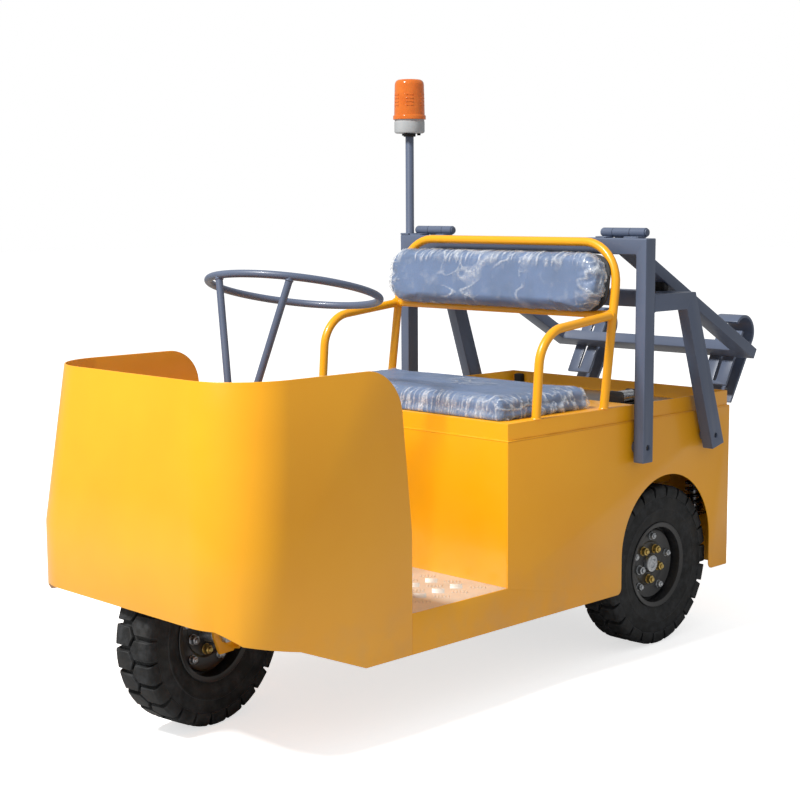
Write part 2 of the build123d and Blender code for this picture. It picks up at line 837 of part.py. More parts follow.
# ================================================================ rear stays
bar_mid_z = side_bar_z + side_bar_height / 2
stay_lean = (stay_top_reach - stay_foot_reach) / (side_bar_z + side_bar_height - stay_foot_z)
foot_shift = stay_lean * 35
with BuildPart() as stays:
    for _, s in SIDES:
        bar_front = at(portal_reach) - portal_tube / 2
        bar_back = at(stay_top_reach) - stay_depth / 2
        with BuildSketch(side(s * post_y)):
            with Locations(((bar_front + bar_back) / 2, bar_mid_z)):
                Rectangle(bar_front - bar_back, side_bar_height)
            with BuildLine():
                top_x, foot_x = at(stay_top_reach), at(stay_foot_reach)
                top_z = side_bar_z + side_bar_height
                Polyline(
                    (top_x + stay_depth / 2, top_z), (foot_x + stay_depth / 2, stay_foot_z),
                    (foot_x - stay_depth / 2, stay_foot_z + 12), (top_x - stay_depth / 2, top_z),
                    close=True,
                )
            make_face()
        extrude(amount=portal_tube_width / 2, both=True)
        with BuildSketch(side(s * (body_half_width + spacer_length / 2))):
            with Locations((at(stay_foot_reach) + foot_shift, stay_foot_z + 35)):
                RegularPolygon(portal_tube / 2 - 3, 16)
        extrude(amount=spacer_length / 2, both=True)
        with BuildSketch(side(s * post_y)):
            with Locations((at(stay_foot_reach) + foot_shift, stay_foot_z + 35)):
                RegularPolygon(mount_hole_radius, 12, major_radius=False)
        extrude(amount=portal_tube_width / 2, both=True, mode=Mode.SUBTRACT)
    with BuildSketch(side(0)):
        with Locations((at(stay_top_reach), bar_mid_z)):
            Rectangle(stay_depth, side_bar_height)
    extrude(amount=post_y, both=True)
save(stays, "rear_stays")

# ================================================================ hinges
hinge_z = portal_top_z + hinge_leaf / 2 + barrel_radius
barrel_x = at(hinge_reach)
with BuildPart() as hinge_leaves:
    for _, s in SIDES:
        for y0, y1 in (
            (knuckle_split[0], knuckle_split[1] - knuckle_gap),
            (knuckle_split[2] + knuckle_gap, knuckle_split[3]),
        ):
            mid, half = s * (y0 + y1) / 2, (y1 - y0) / 2
            with BuildSketch(side(mid)):
                with Locations((barrel_x, hinge_z)):
                    RegularPolygon(barrel_radius, bore_sides)
                with Locations((barrel_x + 17, portal_top_z + hinge_leaf / 2)):
                    Rectangle(34, hinge_leaf)
            extrude(amount=half, both=True)
        with BuildSketch(side(s * (knuckle_split[0] + knuckle_split[3]) / 2)):
            with Locations((barrel_x, hinge_z)):
                RegularPolygon(pin_radius, bore_sides)
        extrude(amount=(knuckle_split[3] - knuckle_split[0]) / 2, both=True)
save(hinge_leaves, "hinge_leaves")


def lift_plane(y):
    """Plane of the lift frame at a given y: local x along the arms, local y square to them."""
    return Plane(origin=(barrel_x, y, hinge_z), x_dir=lift_dir(), z_dir=(0, 1, 0))


arm_top = -barrel_radius
arm_mid = arm_top - arm_depth / 2
with BuildPart() as lift_frame:
    for _, s in SIDES:
        with BuildSketch(lift_plane(s * arm_centre_y)):
            with Locations(((arm_start + arm_end) / 2, arm_mid)):
                Rectangle(arm_end - arm_start, arm_depth)
        extrude(amount=arm_width / 2, both=True)
        mid = s * (knuckle_split[1] + knuckle_split[2]) / 2
        half = (knuckle_split[2] - knuckle_split[1]) / 2
        with BuildSketch(lift_plane(mid)):
            RegularPolygon(barrel_radius, bore_sides)
            with Locations((55, arm_top + hinge_leaf / 2)):
                Rectangle(110, hinge_leaf)
            RegularPolygon(
                pin_radius + shaft_play, bore_sides, major_radius=False, mode=Mode.SUBTRACT
            )
        extrude(amount=half, both=True)
    with BuildSketch(lift_plane(0)):
        with Locations((arm_end - arm_width / 2, arm_mid)):
            Rectangle(arm_width, arm_depth)
    extrude(amount=arm_centre_y, both=True)
save(lift_frame, "lift_frame")

# ================================================================ hooks
curl_s, curl_t = curl_centre
plate_back = arm_end + hook_plate
leg_outer_top = curl_s + curl_radius
leg_outer_foot = leg_outer_top - hook_rear_taper
inner_radius = curl_radius - hook_plate
for name, s in SIDES:
    hook_mid = s * (hook_inner_y + hook_width / 2)
    with BuildPart() as hook:
        with BuildSketch(lift_plane(hook_mid)):
            with Locations(curl_centre):
                RegularPolygon(curl_radius, curl_sides)
            with BuildLine():
                Polyline(
                    (leg_outer_top - hook_plate, curl_t), (leg_outer_top, curl_t),
                    (leg_outer_foot, -hook_rear_drop), (leg_outer_foot - hook_plate, -hook_rear_drop),
                    close=True,
                )
            make_face()
            with BuildLine():
                Polyline(
                    (arm_end, curl_t), (plate_back, curl_t),
                    (plate_back, -hook_front_drop), (arm_end, -hook_front_drop),
                    close=True,
                )
            make_face()
            with Locations(curl_centre):
                RegularPolygon(inner_radius, curl_sides, mode=Mode.SUBTRACT)
            # mouth between the two legs
            with BuildLine():
                Polyline(
                    (plate_back, curl_t), (leg_outer_top - hook_plate, curl_t),
                    (leg_outer_foot - hook_plate, -hook_rear_drop),
                    (plate_back, -hook_rear_drop),
                    close=True,
                )
            make_face(mode=Mode.SUBTRACT)
        extrude(amount=hook_width / 2, both=True)
        with BuildSketch(lift_plane(hook_mid)):
            with Locations(((arm_end + plate_back) / 2, (curl_t - hook_front_drop) / 2)):
                Rectangle(hook_plate + 2, curl_t + hook_front_drop - 20)
        extrude(amount=slot_width / 2, both=True, mode=Mode.SUBTRACT)
    save(hook, f"hook_{name}")

# ================================================================ rest pads under the arms
slope = tan(radians(lift_slope))


def arm_underside(x):
    """Height of the arms' underside above a given x."""
    drop = (arm_depth + barrel_radius) / cos(radians(lift_slope))
    return hinge_z - drop - (barrel_x - x) * slope


pad_front = at(stay_top_reach) - 2
pad_back = at(stay_top_reach) - stay_depth / 2 + 3
with BuildPart() as rest_pads:
    for _, s in SIDES:
        with BuildSketch(side(s * arm_centre_y)):
            with BuildLine():
                Polyline(
                    (pad_front, side_bar_z + side_bar_height),
                    (pad_front, arm_underside(pad_front) - soft_gap),
                    (pad_back, arm_underside(pad_back) - soft_gap),
                    (pad_back, side_bar_z + side_bar_height),
                    close=True,
                )
            make_face()
        extrude(amount=arm_width / 2 - 4, both=True)
save(rest_pads, "rest_pads")

# ================================================================ seat frame
lean = radians(hoop_lean)
hoop_frame = Plane(
    origin=(at(hoop_foot_reach), 0, box_top_z),
    x_dir=(0, 1, 0),
    z_dir=(cos(lean), 0, sin(lean)),
)
hoop_height = (hoop_top_z - box_top_z) / cos(lean)
rail_height = (back_rail_z - box_top_z) / cos(lean)


def hoop_x(z):
    """X of the hoop's centre line at a height."""
    return at(hoop_foot_reach) - (z - box_top_z) * tan(lean)


with BuildPart() as seat_frame:
    with BuildLine(hoop_frame):
        FilletPolyline(
            (-seat_half_width, -20), (-seat_half_width, hoop_height),
            (seat_half_width, hoop_height), (seat_half_width, -20),
            radius=hoop_bend,
        )
    with BuildSketch(Plane(
        origin=hoop_frame.from_local_coords(Vector(-seat_half_width, -20, 0)),
        z_dir=hoop_frame.y_dir,
    )):
        RegularPolygon(seat_tube_radius, tube_sides)
    sweep()
    with BuildSketch(Plane(
        origin=hoop_frame.from_local_coords(Vector(0, rail_height, 0)), z_dir=(0, 1, 0)
    )):
        RegularPolygon(seat_tube_radius - 1, tube_sides)
    extrude(amount=seat_half_width, both=True)
    for _, s in SIDES:
        with BuildLine(side(s * seat_half_width)) as arm_path:
            FilletPolyline(
                (hoop_x(back_rail_z), back_rail_z),
                (at(arm_corner_reach), arm_corner_z),
                (at(arm_foot_reach), box_top_z - 20),
                radius=arm_bend,
            )
        with BuildSketch(Plane(
            origin=arm_path.wires()[0] @ 0, z_dir=arm_path.wires()[0] % 0
        )):
            RegularPolygon(seat_tube_radius, tube_sides)
        sweep(path=arm_path.wires()[0])
    split(bisect_by=level(box_top_z), keep=Keep.TOP)
save(seat_frame, "seat_frame")

# ================================================================ cushions
with BuildPart() as seat_cushion:
    with BuildSketch(level(box_top_z + soft_gap)):
        with Locations((at((cushion_back_reach + cushion_front_reach) / 2), 0)):
            Rectangle(cushion_front_reach - cushion_back_reach, 2 * cushion_half_width)
    extrude(amount=cushion_height)
    chamfer(seat_cushion.edges().filter_by(Axis.Z), 16)
    chamfer(seat_cushion.faces().sort_by(Axis.Z)[-1].edges(), 10)
save(seat_cushion, "seat_cushion")

back_face = seat_tube_radius * cos(radians(180 / tube_sides)) + soft_gap
with BuildPart() as back_board:
    with BuildSketch(hoop_frame.offset(back_face)):
        with Locations((0, rail_height + backrest_height / 2)):
            RectangleRounded(2 * cushion_half_width + 30, backrest_height - 10, 50)
    extrude(amount=backrest_board)
save(back_board, "backrest_board")

with BuildPart() as backrest:
    with BuildSketch(hoop_frame.offset(back_face + backrest_board + soft_gap)):
        with Locations((0, rail_height + backrest_height / 2)):
            RectangleRounded(2 * cushion_half_width + 14, backrest_height, 58)
    extrude(amount=backrest_thickness)
    chamfer(backrest.faces().sort_by(Axis(hoop_frame.origin, hoop_frame.z_dir))[-1].edges(), 14)
save(backrest, "backrest_cushion")

# ================================================================ beacon
beacon_at = (at(portal_reach), beacon_y)
foot_plate = 5.0
with BuildPart() as pole:
    with BuildSketch(level(portal_top_z)):
        with Locations((beacon_at[0], -post_y)):
            Rectangle(portal_tube, portal_tube_width)
    extrude(amount=foot_plate)
    with BuildSketch(level(portal_top_z)):
        with Locations(beacon_at):
            RegularPolygon(pole_radius, bore_sides)
    extrude(amount=beacon_base_z - portal_top_z)
save(pole, "beacon_pole")

with BuildPart() as beacon_base:
    with BuildSketch(level(beacon_base_z)):
        with Locations(beacon_at):
            RegularPolygon(beacon_base_radius, round_sides)
    extrude(amount=beacon_dome_z - beacon_base_z)
    chamfer(beacon_base.faces().sort_by(Axis.Z)[0].edges(), 4)
save(beacon_base, "beacon_base")

# height and radius of the dome, from its band to its top
dome_steps = (
    (beacon_dome_z, beacon_dome_radius),
    (beacon_dome_z + 10, beacon_dome_radius),
    (beacon_dome_z + 12, beacon_dome_radius - 3),
    (beacon_top_z - 14, beacon_dome_radius - 5),
    (beacon_top_z - 4, beacon_dome_radius - 9),
    (beacon_top_z, beacon_dome_radius - 16),
)
with BuildPart() as dome:
    for step in zip(dome_steps, dome_steps[1:]):
        for z, radius in step:
            with BuildSketch(level(z)):
                with Locations(beacon_at):
                    RegularPolygon(radius, round_sides)
        loft(ruled=True)
save(dome, "beacon_dome")

# ================================================================ tow hitch
hitch_plate = 12.0
jaw_gap = 36.0
jaw_reach = 70.0
hitch_back = at(-box_back_reach)
with BuildPart() as hitch:
    with BuildSketch(across(hitch_back - hitch_plate)):
        with Locations((0, hitch_z)):
            Rectangle(130, 130)
    extrude(amount=hitch_plate)
    for s in (-1, 1):
        with BuildSketch(level(hitch_z + s * (jaw_gap + hitch_plate) / 2 - hitch_plate / 2)):
            with Locations((hitch_back - hitch_plate - jaw_reach / 2, 0)):
                Rectangle(jaw_reach, 80)
            with Locations((hitch_back - hitch_plate - jaw_reach, 0)):
                RegularPolygon(40, round_sides)
            with Locations((hitch_back - hitch_plate - jaw_reach, 0)):
                Circle(hitch_bore / 2, mode=Mode.SUBTRACT)
        extrude(amount=hitch_plate)
save(hitch, "tow_hitch")

# ================================================================ pedals
with BuildPart() as pedals:
    for y in (-150.0, -30.0):
        with BuildSketch(side(y)):
            with BuildLine():
                Polyline(
                    (at(bulkhead_reach) - sheet, floor_z + 150),
                    (at(bulkhead_reach) - sheet - 60, floor_z + 70),
                    (at(bulkhead_reach) - sheet - 75, floor_z + 40),
                    (at(bulkhead_reach) - sheet - 83, floor_z + 45),
                    (at(bulkhead_reach) - sheet - 66, floor_z + 80),
                    (at(bulkhead_reach) - sheet, floor_z + 164),
                    close=True,
                )
            make_face()
        extrude(amount=32, both=True)
save(pedals, "foot_pedals")
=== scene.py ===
"""Airport baggage tug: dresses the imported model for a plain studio.

Every length is in metres and every place is in the model's own frame: +X forward, +Y to the
driver's left, +Z up, with the origin on the floor below the middle of the machine.
"""
import json
import logging
from dataclasses import dataclass
from enum import Enum
from math import ceil, cos, pi, radians, sin, sqrt, tan
from typing import Any, Callable, Iterable, Optional, Sequence

import bpy
from mathutils import Matrix, Vector, noise

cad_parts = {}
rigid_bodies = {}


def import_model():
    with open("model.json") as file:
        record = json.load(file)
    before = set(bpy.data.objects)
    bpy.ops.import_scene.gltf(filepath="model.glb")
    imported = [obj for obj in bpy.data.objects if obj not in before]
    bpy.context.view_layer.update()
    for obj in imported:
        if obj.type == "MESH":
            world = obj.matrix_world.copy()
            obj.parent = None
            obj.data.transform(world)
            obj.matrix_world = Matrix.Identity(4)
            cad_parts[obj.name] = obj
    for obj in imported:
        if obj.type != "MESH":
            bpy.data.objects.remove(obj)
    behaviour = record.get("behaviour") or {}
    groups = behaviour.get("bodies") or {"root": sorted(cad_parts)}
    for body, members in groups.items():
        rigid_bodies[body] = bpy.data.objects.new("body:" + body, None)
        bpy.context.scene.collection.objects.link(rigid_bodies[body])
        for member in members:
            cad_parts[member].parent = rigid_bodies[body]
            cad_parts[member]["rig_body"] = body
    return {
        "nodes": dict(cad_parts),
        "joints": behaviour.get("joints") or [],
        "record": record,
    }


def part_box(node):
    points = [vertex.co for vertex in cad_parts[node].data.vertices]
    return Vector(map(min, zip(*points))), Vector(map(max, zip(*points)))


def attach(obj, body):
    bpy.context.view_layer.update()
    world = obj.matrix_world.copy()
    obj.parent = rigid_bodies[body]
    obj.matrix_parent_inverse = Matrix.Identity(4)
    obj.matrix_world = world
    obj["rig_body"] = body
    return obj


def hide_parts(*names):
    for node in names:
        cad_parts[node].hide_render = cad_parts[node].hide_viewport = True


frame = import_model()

log = logging.getLogger("baggage_tug")
Point = Sequence[float]
MM = 0.001
MERGE = 0.00001  # vertices closer than this are one
AXES = {"X": Vector((1, 0, 0)), "Y": Vector((0, 1, 0)), "Z": Vector((0, 0, 1))}


def mm(*values: float) -> tuple[float, ...]:
    """Millimetres as metres."""
    return tuple(value * MM for value in values)


# ---------------------------------------------------------------- colour and nodes
def linear(code: str) -> tuple[float, float, float, float]:
    """Turn an sRGB hex colour into the linear RGBA that a shader takes.

    Args:
        code: Six hex digits, with or without a leading hash.

    Returns:
        The colour with full opacity.
    """
    digits = code.lstrip("#")
    parts = [int(digits[i:i + 2], 16) / 255 for i in (0, 2, 4)]
    red, green, blue = (c / 12.92 if c <= 0.04045 else ((c + 0.055) / 1.055) ** 2.4 for c in parts)
    return red, green, blue, 1.0


def add_node(tree: bpy.types.NodeTree, kind: str, settings: Optional[dict] = None,
             links: Optional[dict] = None) -> bpy.types.Node:
    """Add one shader node.

    Args:
        tree: The node tree that gets it.
        kind: The node's type name.
        settings: Node properties and input values by name, or by number for inputs.
        links: Output sockets by the name or number of the input that they feed.

    Returns:
        The new node.
    """
    made = tree.nodes.new(kind)
    for key, value in (settings or {}).items():
        if isinstance(key, str) and hasattr(made, key):
            setattr(made, key, value)
        else:
            made.inputs[key].default_value = value
    for key, output in (links or {}).items():
        tree.links.new(output, made.inputs[key])
    return made


class Blend:
    """Socket numbers of a Mix node set to colour."""

    FACTOR, LOW, HIGH, RESULT = 0, 6, 7, 2


class Surface:
    """A material's tree while it is being laid out: one Principled shader and its inputs."""

    def __init__(self, name: str, **constants: Any) -> None:
        """Start a material with constants set straight on its shader's sockets.

        Args:
            name: The material's name.
            **constants: Socket values, the spaces in a socket's name written as underscores.
        """
        self.material = bpy.data.materials.new(name)
        self.material.use_nodes = True
        self.tree = self.material.node_tree
        self.tree.nodes.clear()
        self.shader = add_node(self.tree, "ShaderNodeBsdfPrincipled", {
            key.replace("_", " "): value for key, value in constants.items()})
        add_node(self.tree, "ShaderNodeOutputMaterial", links={"Surface": self.shader.outputs[0]})
        self.place = add_node(self.tree, "ShaderNodeTexCoord")

    def noise(self, size_mm: float, detail: float = 2.0, stretch: Point = (1, 1, 1),
              turn: Point = (0, 0, 0), rough: float = 0.5) -> bpy.types.NodeSocket:
        """Noise on object coordinates whose features are about the size given.

        Args:
            size_mm: Size of one feature, in millimetres.
            detail: Octaves of finer noise.
            stretch: How much the scale grows along each axis.
            turn: Turn of the pattern about each axis, in degrees.
            rough: Strength of the finer octaves.

        Returns:
            The noise value's socket.
        """
        mapped = add_node(self.tree, "ShaderNodeMapping", {
            "Scale": Vector(stretch), "Rotation": [radians(a) for a in turn]},
            {"Vector": self.place.outputs["Object"]})
        made = add_node(self.tree, "ShaderNodeTexNoise", {
            "Scale": 1000.0 / size_mm, "Detail": detail, "Roughness": rough},
            {"Vector": mapped.outputs[0]})
        return made.outputs["Fac"]

    def ramp(self, value: bpy.types.NodeSocket, low: float, high: float,
             to_low: float = 0.0, to_high: float = 1.0) -> bpy.types.NodeSocket:
        """Map a value from one range to another, held at its ends."""
        return add_node(self.tree, "ShaderNodeMapRange", {
            "From Min": low, "From Max": high, "To Min": to_low, "To Max": to_high},
            {"Value": value}).outputs[0]

    def tint(self, factor: bpy.types.NodeSocket, low: Any, high: Any) -> bpy.types.NodeSocket:
        """Blend between two colours, each a hex code or a colour socket."""
        mixed = add_node(self.tree, "ShaderNodeMix", {"data_type": "RGBA"},
                         {Blend.FACTOR: factor})
        for socket, colour in ((Blend.LOW, low), (Blend.HIGH, high)):
            if isinstance(colour, str):
                mixed.inputs[socket].default_value = linear(colour)
            else:
                self.tree.links.new(colour, mixed.inputs[socket])
        return mixed.outputs[Blend.RESULT]

    def maths(self, operation: str, first: Any, second: Any) -> bpy.types.NodeSocket:
        """Combine two values, each a number or a socket, with one arithmetic operation."""
        made = add_node(self.tree, "ShaderNodeMath", {"operation": operation})
        for number, value in enumerate((first, second)):
            if isinstance(value, (int, float)):
                made.inputs[number].default_value = value
            else:
                self.tree.links.new(value, made.inputs[number])
        return made.outputs[0]

    def edges(self, radius_mm: float) -> bpy.types.NodeSocket:
        """Zero on flat metal and up to one on edges sharper than the radius."""
        soft = add_node(self.tree, "ShaderNodeBevel", {"samples": 4, "Radius": radius_mm * MM})
        true = add_node(self.tree, "ShaderNodeNewGeometry")
        dot = add_node(self.tree, "ShaderNodeVectorMath", {"operation": "DOT_PRODUCT"},
                       {0: soft.outputs[0], 1: true.outputs["Normal"]})
        return self.ramp(dot.outputs["Value"], 0.995, 0.8)

    def bump(self, height: bpy.types.NodeSocket, depth_mm: float,
             under: Optional[bpy.types.NodeSocket] = None) -> bpy.types.NodeSocket:
        """Turn a height into a bumped normal, over another where one is given."""
        links = {"Height": height}
        if under is not None:
            links["Normal"] = under
        return add_node(self.tree, "ShaderNodeBump", {"Distance": depth_mm * MM}, links).outputs[0]

    def feed(self, **sockets: bpy.types.NodeSocket) -> bpy.types.Material:
        """Link sockets to the shader's inputs and hand over the finished material."""
        for key, output in sockets.items():
            self.tree.links.new(output, self.shader.inputs[key.replace("_", " ")])
        return self.material


# ---------------------------------------------------------------- finishes
@dataclass(frozen=True)
class StovedEnamel:
    """Solvent enamel sprayed on sheet steel and stoved.

    It lies in one smooth glossy film with a faint orange peel, a shade deeper in places and
    thinner, so lighter, along sharp edges, with a little road dust near the floor.
    """

    name: str
    colour: str
    deep: str
    edge: str
    dust: str = "#B9A888"
    roughness: float = 0.34
    coat: float = 0.35
    peel_mm: float = 5.0

    def make(self) -> bpy.types.Material:
        """Build the enamel's material."""
        s = Surface(self.name, IOR=1.5, Coat_Weight=self.coat, Coat_Roughness=0.08)
        cloudy = s.ramp(s.noise(240, 3), 0.35, 0.7)
        body = s.tint(cloudy, self.colour, self.deep)
        edge = s.maths("MULTIPLY", s.edges(1.6), s.ramp(s.noise(14, 4), 0.42, 0.62))
        body = s.tint(s.maths("MULTIPLY", edge, 0.55), body, self.edge)
        height = add_node(s.tree, "ShaderNodeSeparateXYZ",
                          links={"Vector": s.place.outputs["Object"]}).outputs["Z"]
        low = s.maths("MULTIPLY", s.ramp(height, 0.32, 0.16), s.ramp(s.noise(60, 5), 0.4, 0.75))
        body = s.tint(s.maths("MULTIPLY", low, 0.22), body, self.dust)
        gloss = s.maths("ADD", s.ramp(s.noise(90, 3), 0.3, 0.7, self.roughness - 0.05,
                                      self.roughness + 0.05), s.maths("MULTIPLY", low, 0.2))
        return s.feed(Base_Color=body, Roughness=gloss,
                      Normal=s.bump(s.noise(self.peel_mm, 1), 0.05))


@dataclass(frozen=True)
class TreadRubber:
    """Carbon-black tyre compound, moulded: near black, dry, with chalky scuffs on the blocks."""

    name: str = "moulded_tyre_rubber"
    colour: str = "#141516"
    worn: str = "#46484B"
    dust: str = "#45423D"

    def make(self) -> bpy.types.Material:
        """Build the rubber's material."""
        s = Surface(self.name, IOR=1.5, Specular_IOR_Level=0.3)
        scuff = s.ramp(s.noise(22, 5, rough=0.65), 0.42, 0.68)
        edge = s.maths("MULTIPLY", s.edges(2.2), 0.7)
        body = s.tint(s.maths("MULTIPLY", scuff, 0.5), self.colour, self.worn)
        body = s.tint(edge, body, self.worn)
        body = s.tint(s.ramp(s.noise(70, 6), 0.52, 0.78, 0.0, 0.35), body, self.dust)
        # mould grain is far under a millimetre, drawn here at 1.4 mm so that it shows
        grain = s.bump(s.noise(1.4, 3), 0.12)
        return s.feed(Base_Color=body, Roughness=s.ramp(scuff, 0, 1, 0.58, 0.8),
                      Normal=s.bump(s.noise(9, 2), 0.25, grain))


@dataclass(frozen=True)
class PlatedSteel:
    """Zinc-plated fastener steel: bright, faintly mottled and a little dull in the hollows."""

    name: str
    colour: str
    dull: str
    roughness: float = 0.32

    def make(self) -> bpy.types.Material:
        """Build the plating's material."""
        s = Surface(self.name, Metallic=1.0)
        mottled = s.ramp(s.noise(6, 4), 0.35, 0.7)
        return s.feed(Base_Color=s.tint(mottled, self.colour, self.dull),
                      Roughness=s.ramp(mottled, 0, 1, self.roughness, self.roughness + 0.18),
                      Normal=s.bump(s.noise(1.2, 2), 0.02))


@dataclass(frozen=True)
class BrushedSheet:
    """Cold-rolled sheet left bare: fine rolling lines along one axis and cloudy reflections."""

    name: str
    colour: str
    deep: str
    stretch: Point = (0.04, 1.0, 1.0)
    roughness: float = 0.36
    metallic: float = 1.0

    def make(self) -> bpy.types.Material:
        """Build the sheet's material."""
        s = Surface(self.name, Metallic=self.metallic)
        # rolling lines are finer than this, drawn 1.5 mm apart so that they show
        lines = s.noise(1.5, 3, self.stretch)
        cloudy = s.ramp(s.noise(120, 4), 0.35, 0.7)
        body = s.tint(s.maths("MULTIPLY", cloudy, 0.7), self.colour, self.deep)
        gloss = s.maths("ADD", s.ramp(lines, 0.3, 0.7, self.roughness - 0.08, self.roughness + 0.1),
                        s.maths("MULTIPLY", cloudy, 0.08))
        return s.feed(Base_Color=body, Roughness=gloss, Normal=s.bump(lines, 0.03))


@dataclass(frozen=True)
class GrainedVinyl:
    """PVC leathercloth on foam: soft pebble grain of about 2 mm and a dull sheen."""

    name: str = "grained_seat_vinyl"
    colour: str = "#59729A"
    deep: str = "#4D6589"

    def make(self) -> bpy.types.Material:
        """Build the vinyl's material."""
        s = Surface(self.name, IOR=1.48, Sheen_Weight=0.12)
        cells = add_node(s.tree, "ShaderNodeTexVoronoi", {
            "feature": "DISTANCE_TO_EDGE", "Scale": 1000 / 2.6},
            {"Vector": s.place.outputs["Object"]})
        grain = s.ramp(cells.outputs["Distance"], 0.0, 0.22)
        body = s.tint(s.ramp(s.noise(60, 4), 0.35, 0.7), self.colour, self.deep)
        return s.feed(Base_Color=body, Roughness=s.ramp(s.noise(25, 3), 0.3, 0.7, 0.42, 0.55),
                      Normal=s.bump(grain, 0.12))


@dataclass(frozen=True)
class CrinkledFilm:
    """Clear polythene dust film drawn over a pad.

    It is nearly invisible where it lies flat. Along its creases it is painted near-opaque white,
    partly milky film doubled up and partly painted highlight streaks. Its facets throw small sharp
    highlights.
    """

    name: str = "clear_polythene_film"
    colour: str = "#E9EFF6"

    def make(self) -> bpy.types.Material:
        """Build the film's material."""
        s = Surface(self.name, IOR=1.5, Roughness=0.13, Specular_IOR_Level=0.9)
        crease = add_node(s.tree, "ShaderNodeAttribute", {"attribute_name": "crease"})
        fine = s.noise(7, 4, rough=0.6)
        # the crease mask paints the film near-opaque white: partly milky doubled film, partly
        # painted highlight streaks
        glint_streak = s.maths("MULTIPLY", s.ramp(crease.outputs["Fac"], 0.35, 1.0),
                         s.ramp(fine, 0.32, 0.66, 0.25, 1.0))
        alpha = s.maths("MAXIMUM", s.ramp(glint_streak, 0, 1, 0.07, 0.78),
                        s.ramp(s.noise(28, 4), 0.55, 0.9, 0.07, 0.3))
        s.shader.inputs["Base Color"].default_value = linear(self.colour)
        return s.feed(Alpha=alpha, Normal=s.bump(s.noise(5, 3), 0.5, s.bump(s.noise(17, 3), 1.2)))


@dataclass(frozen=True)
class LampPolycarbonate:
    """Amber polycarbonate, injection moulded: clear colour with a faint painted glow all over,
    standing in for light that gets in.
    """

    name: str = "amber_polycarbonate"
    colour: str = "#E67E2E"

    def make(self) -> bpy.types.Material:
        """Build the lens material."""
        # the faint emission is a painted glow, even over the whole lens
        s = Surface(self.name, IOR=1.5, Roughness=0.14, Transmission_Weight=0.3,
                    Emission_Strength=0.05)
        s.shader.inputs["Emission Color"].default_value = linear(self.colour)
        body = s.tint(s.ramp(s.noise(30, 2), 0.35, 0.7), self.colour, "#DC7024")
        return s.feed(Base_Color=body, Normal=s.bump(s.noise(6, 1), 0.04))


@dataclass(frozen=True)
class MouldedPlastic:
    """Injection-moulded plastic with a fine spark-eroded texture."""

    name: str
    colour: str
    deep: str
    roughness: float = 0.5
    grain_mm: float = 1.2

    def make(self) -> bpy.types.Material:
        """Build the plastic's material."""
        s = Surface(self.name, IOR=1.49)
        body = s.tint(s.ramp(s.noise(50, 4), 0.4, 0.7), self.colour, self.deep)
        gloss = s.ramp(s.noise(18, 3), 0.3, 0.7, self.roughness - 0.06, self.roughness + 0.08)
        return s.feed(Base_Color=body, Roughness=gloss,
                      Normal=s.bump(s.noise(self.grain_mm, 2), 0.05))


@dataclass(frozen=True)
class SandCastIron:
    """Sand-cast iron under a thin black wash: pitted and dull."""

    name: str = "sand_cast_iron"
    colour: str = "#2B2C2E"
    deep: str = "#1E1E20"

    def make(self) -> bpy.types.Material:
        """Build the casting's material."""
        s = Surface(self.name, IOR=1.5)
        body = s.tint(s.ramp(s.noise(16, 5), 0.35, 0.7), self.colour, self.deep)
        return s.feed(Base_Color=body, Roughness=s.ramp(s.noise(12, 3), 0.3, 0.7, 0.55, 0.75),
                      Normal=s.bump(s.noise(2.2, 3), 0.3))


class Finish(Enum):
    """The finishes that the machine is made in."""

    YELLOW = StovedEnamel("yellow_stoved_enamel", "#F6AC12", "#F2A50E", "#F8C345", coat=0.2)
    SLATE = StovedEnamel("slate_stoved_enamel", "#5A657C", "#515C72", "#8E99AD", roughness=0.4,
                         coat=0.1)
    BLACK = StovedEnamel("black_stoved_enamel", "#1B1C1F", "#151618", "#34363A", dust="#4A463F",
                         roughness=0.38)
    RUBBER = TreadRubber()
    BUFFER = MouldedPlastic("moulded_buffer_rubber", "#1C1C1D", "#151516", 0.7)
    BRIGHT = PlatedSteel("bright_zinc_plate", "#C9CCD0", "#9EA2A6")
    GOLD = PlatedSteel("yellow_passivated_zinc", "#D9BE77", "#B59A58")
    DECK = BrushedSheet("cold_rolled_deck_sheet", "#B9BABA", "#9A9B9B")
    TREAD = BrushedSheet("rolled_aluminium_tread_plate", "#DCD9D2", "#C8C4BA", (1, 0.05, 1),
                         0.5, 0.6)
    VINYL = GrainedVinyl()
    FILM = CrinkledFilm()
    BOARD = MouldedPlastic("phenolic_backing_board", "#2A2C30", "#1F2124", 0.6)
    BATTERY = MouldedPlastic("polypropylene_battery_case", "#1C1D1F", "#151617", 0.5)
    IRON = SandCastIron()
    LENS = LampPolycarbonate()
    LAMP_BASE = MouldedPlastic("light_grey_abs", "#AEB2B5", "#A3A7AA", 0.4)
    CHROME = PlatedSteel("satin_chrome", "#D5D7DA", "#B5B8BC", 0.16)

    def material(self) -> bpy.types.Material:
        """The finish's one material, made the first time that it is asked for."""
        found = bpy.data.materials.get(self.value.name)
        return found or self.value.make()


